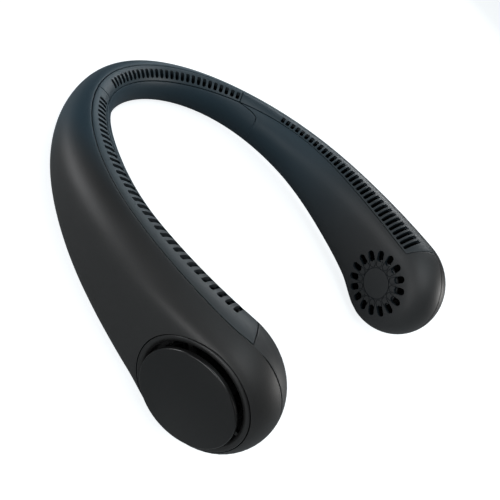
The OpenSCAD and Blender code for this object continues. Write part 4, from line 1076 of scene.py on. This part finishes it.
class OBJECT_OT_neck_fan_inside(bpy.types.Operator):
    """Gives the motors, cells, board, wires and screws their finishes"""
    bl_idname = "object.neck_fan_inside"
    bl_label = "Inner Parts"

    def execute(self, context):
        for name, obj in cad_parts.items():
            for ending, key in NODE_FINISHES.items():
                if name.endswith(ending):
                    for holder in obj.material_slots:
                        holder.material = finish(key)
                    if not obj.material_slots:
                        obj.data.materials.append(finish(key))
        return {"FINISHED"}


class OBJECT_OT_neck_fan_stage(bpy.types.Operator):
    """Sets the pale floor, the soft lights and the camera"""
    bl_idname = "object.neck_fan_stage"
    bl_label = "Stage"

    def execute(self, context):
        floor_stage()
        world_light()
        lamps()
        context.scene.camera = camera()
        context.scene.view_settings.view_transform = "Standard"
        return {"FINISHED"}


def floor_stage():
    """Pale seamless floor: the camera sees part of its colour as a plain glow, it keeps the soft shadow,
    and it is clear from below."""
    mesh = bpy.data.meshes.new("floor")
    mesh.from_pydata([(*corner, 0) for corner in box(-4, 4, -4, 4)], [], [(0, 1, 2, 3)])
    material, tree, shader, spot = start("matte_backdrop_paper")
    tone = finish_colours().floor
    fibre = add(tree, "ShaderNodeTexNoise", {"Vector": spot, "Scale": 1 / (3 * MM), "Detail": 2.0})
    rough = add(tree, "ShaderNodeMapRange", {0: fibre.outputs[0], 3: 0.85, 4: 0.95})
    tree.links.new(rough.outputs[0], shader.inputs["Roughness"])
    shader.inputs["Base Color"].default_value = (*[0.45 * c for c in tone], 1)
    shader.inputs["Specular IOR Level"].default_value = 0.1
    seen, below = add(tree, "ShaderNodeLightPath"), add(tree, "ShaderNodeNewGeometry")
    none, glow = (add(tree, "ShaderNodeEmission", {"Color": (*tone, 1), "Strength": power}) for power in (0.0, 0.9))
    pick = add(tree, "ShaderNodeMixShader",
               {0: seen.outputs["Is Camera Ray"], 1: none.outputs[0], 2: glow.outputs[0]})
    both = add(tree, "ShaderNodeAddShader", {0: shader.outputs[0], 1: pick.outputs[0]})
    clear = add(tree, "ShaderNodeBsdfTransparent")
    sided = add(tree, "ShaderNodeMixShader",
                {0: below.outputs["Backfacing"], 1: both.outputs[0], 2: clear.outputs[0]})
    out = next(n for n in tree.nodes if n.type == "OUTPUT_MATERIAL")
    tree.links.new(sided.outputs[0], out.inputs["Surface"])
    mesh.materials.append(material)
    new_object("floor", mesh)


def world_light():
    """A dim even world that the camera sees as pale paper."""
    world = bpy.data.worlds.new("studio")
    bpy.context.scene.world = world
    world.use_nodes = True
    tree, tone = world.node_tree, finish_colours().floor
    tree.nodes.clear()
    sky, sheen, paper = (add(tree, "ShaderNodeBackground", {"Color": (*shade, 1), "Strength": power})
                         for shade, power in (((0.5, 0.85, 1.0), 0.04), (tone, 0.08), (tone, 0.9)))
    seen = add(tree, "ShaderNodeLightPath")
    dim = add(tree, "ShaderNodeMixShader",
              {0: seen.outputs["Is Glossy Ray"], 1: sky.outputs[0], 2: sheen.outputs[0]})
    both = add(tree, "ShaderNodeMixShader",
               {0: seen.outputs["Is Camera Ray"], 1: dim.outputs[0], 2: paper.outputs[0]})
    add(tree, "ShaderNodeOutputWorld", {"Surface": both.outputs[0]})


def lamps():
    """Soft studio light: a top light and low side lights, all turned to the middle of the fan."""
    middle = Vector((0, 0, 30 * MM))
    for name, spot, across, power, tone in (
            ("front_left", (-0.38, -0.32, 0.90), 0.40, 2.40, (0.97, 0.99, 1)),
            ("top", (0.00, 0.00, 1.03), 0.60, 1.90, (0.86, 0.96, 1)),
            ("left_rear", (-0.59, 0.81, 0.10), 0.40, 3.60, (0.97, 0.98, 1)),
            ("left_low", (-0.98, -0.17, 0.17), 0.35, 2.60, (1, 1, 1)),
            ("right", (0.83, 0.34, 0.47), 0.35, 2.10, (0.96, 0.98, 1)),
            ("right_rear", (0.69, 0.69, 0.27), 0.45, 1.10, (0.74, 0.9, 1)),
            ("front_right", (0.71, -0.64, 0.34), 0.35, 3.20, (1, 0.98, 0.96))):
        lamp = bpy.data.lights.new(name, "AREA")
        lamp.shape, lamp.size, lamp.energy, lamp.color = "DISK", across, power, tone
        obj = new_object(name, lamp)
        obj.location = spot
        obj.rotation_euler = (middle - Vector(spot)).to_track_quat("-Z", "Y").to_euler()


def camera():
    """Camera at the photograph's view, from the fitted place, turn and focal length."""
    turn = Matrix.Rotation(-Form.STAND_TILT, 3, "X")
    right = turn @ Vector((0.64946804, -0.61107416, 0.45252583))
    down = turn @ Vector((-0.1881727, -0.70577595, -0.68298707))
    ahead = turn @ Vector((0.73673761, 0.35842527, -0.5733664))
    place = turn @ Vector((-206.946, -104.145, 124.982)) * MM + Vector((0, -Form.STAND_MID, Form.STAND_RISE))
    lens = bpy.data.cameras.new("camera")
    lens.sensor_width, lens.lens = 36, 540.023 / 500 * 36
    lens.clip_start, lens.clip_end = 0.01, 20
    obj = new_object("camera", lens)
    obj.matrix_world = Matrix.Translation(place) @ Matrix((right, -down, -ahead)).transposed().to_4x4()
    return obj


OPERATORS = (OBJECT_OT_neck_fan_stage, OBJECT_OT_neck_fan_shells, OBJECT_OT_neck_fan_strips,
             OBJECT_OT_neck_fan_intakes, OBJECT_OT_neck_fan_controls, OBJECT_OT_neck_fan_inside)


class VIEW3D_PT_neck_fan(bpy.types.Panel):
    """Sidebar panel with the neck fan's steps, sizes and colours"""
    bl_label = "Neck Fan"
    bl_space_type = "VIEW_3D"
    bl_region_type = "UI"
    bl_category = "Neck Fan"

    def draw(self, context):
        for operator in OPERATORS:
            self.layout.operator(operator.bl_idname)
        for group in (sizes(), finish_colours()):
            box = self.layout.box()
            for key in group.__annotations__:
                box.prop(group, key)


CLASSES = (NeckFanSizes, NeckFanFinish, *OPERATORS, VIEW3D_PT_neck_fan)


def register():
    for kind in CLASSES:
        bpy.utils.register_class(kind)
    bpy.types.Scene.neck_fan_sizes = PointerProperty(type=NeckFanSizes)
    bpy.types.Scene.neck_fan_finish = PointerProperty(type=NeckFanFinish)


def unregister():
    del bpy.types.Scene.neck_fan_sizes
    del bpy.types.Scene.neck_fan_finish
    for kind in reversed(CLASSES):
        bpy.utils.unregister_class(kind)


def main():
    register()
    for operator in OPERATORS:
        area, call = operator.bl_idname.split(".")
        getattr(getattr(bpy.ops, area), call)()


if __name__ == "__main__":
    main()
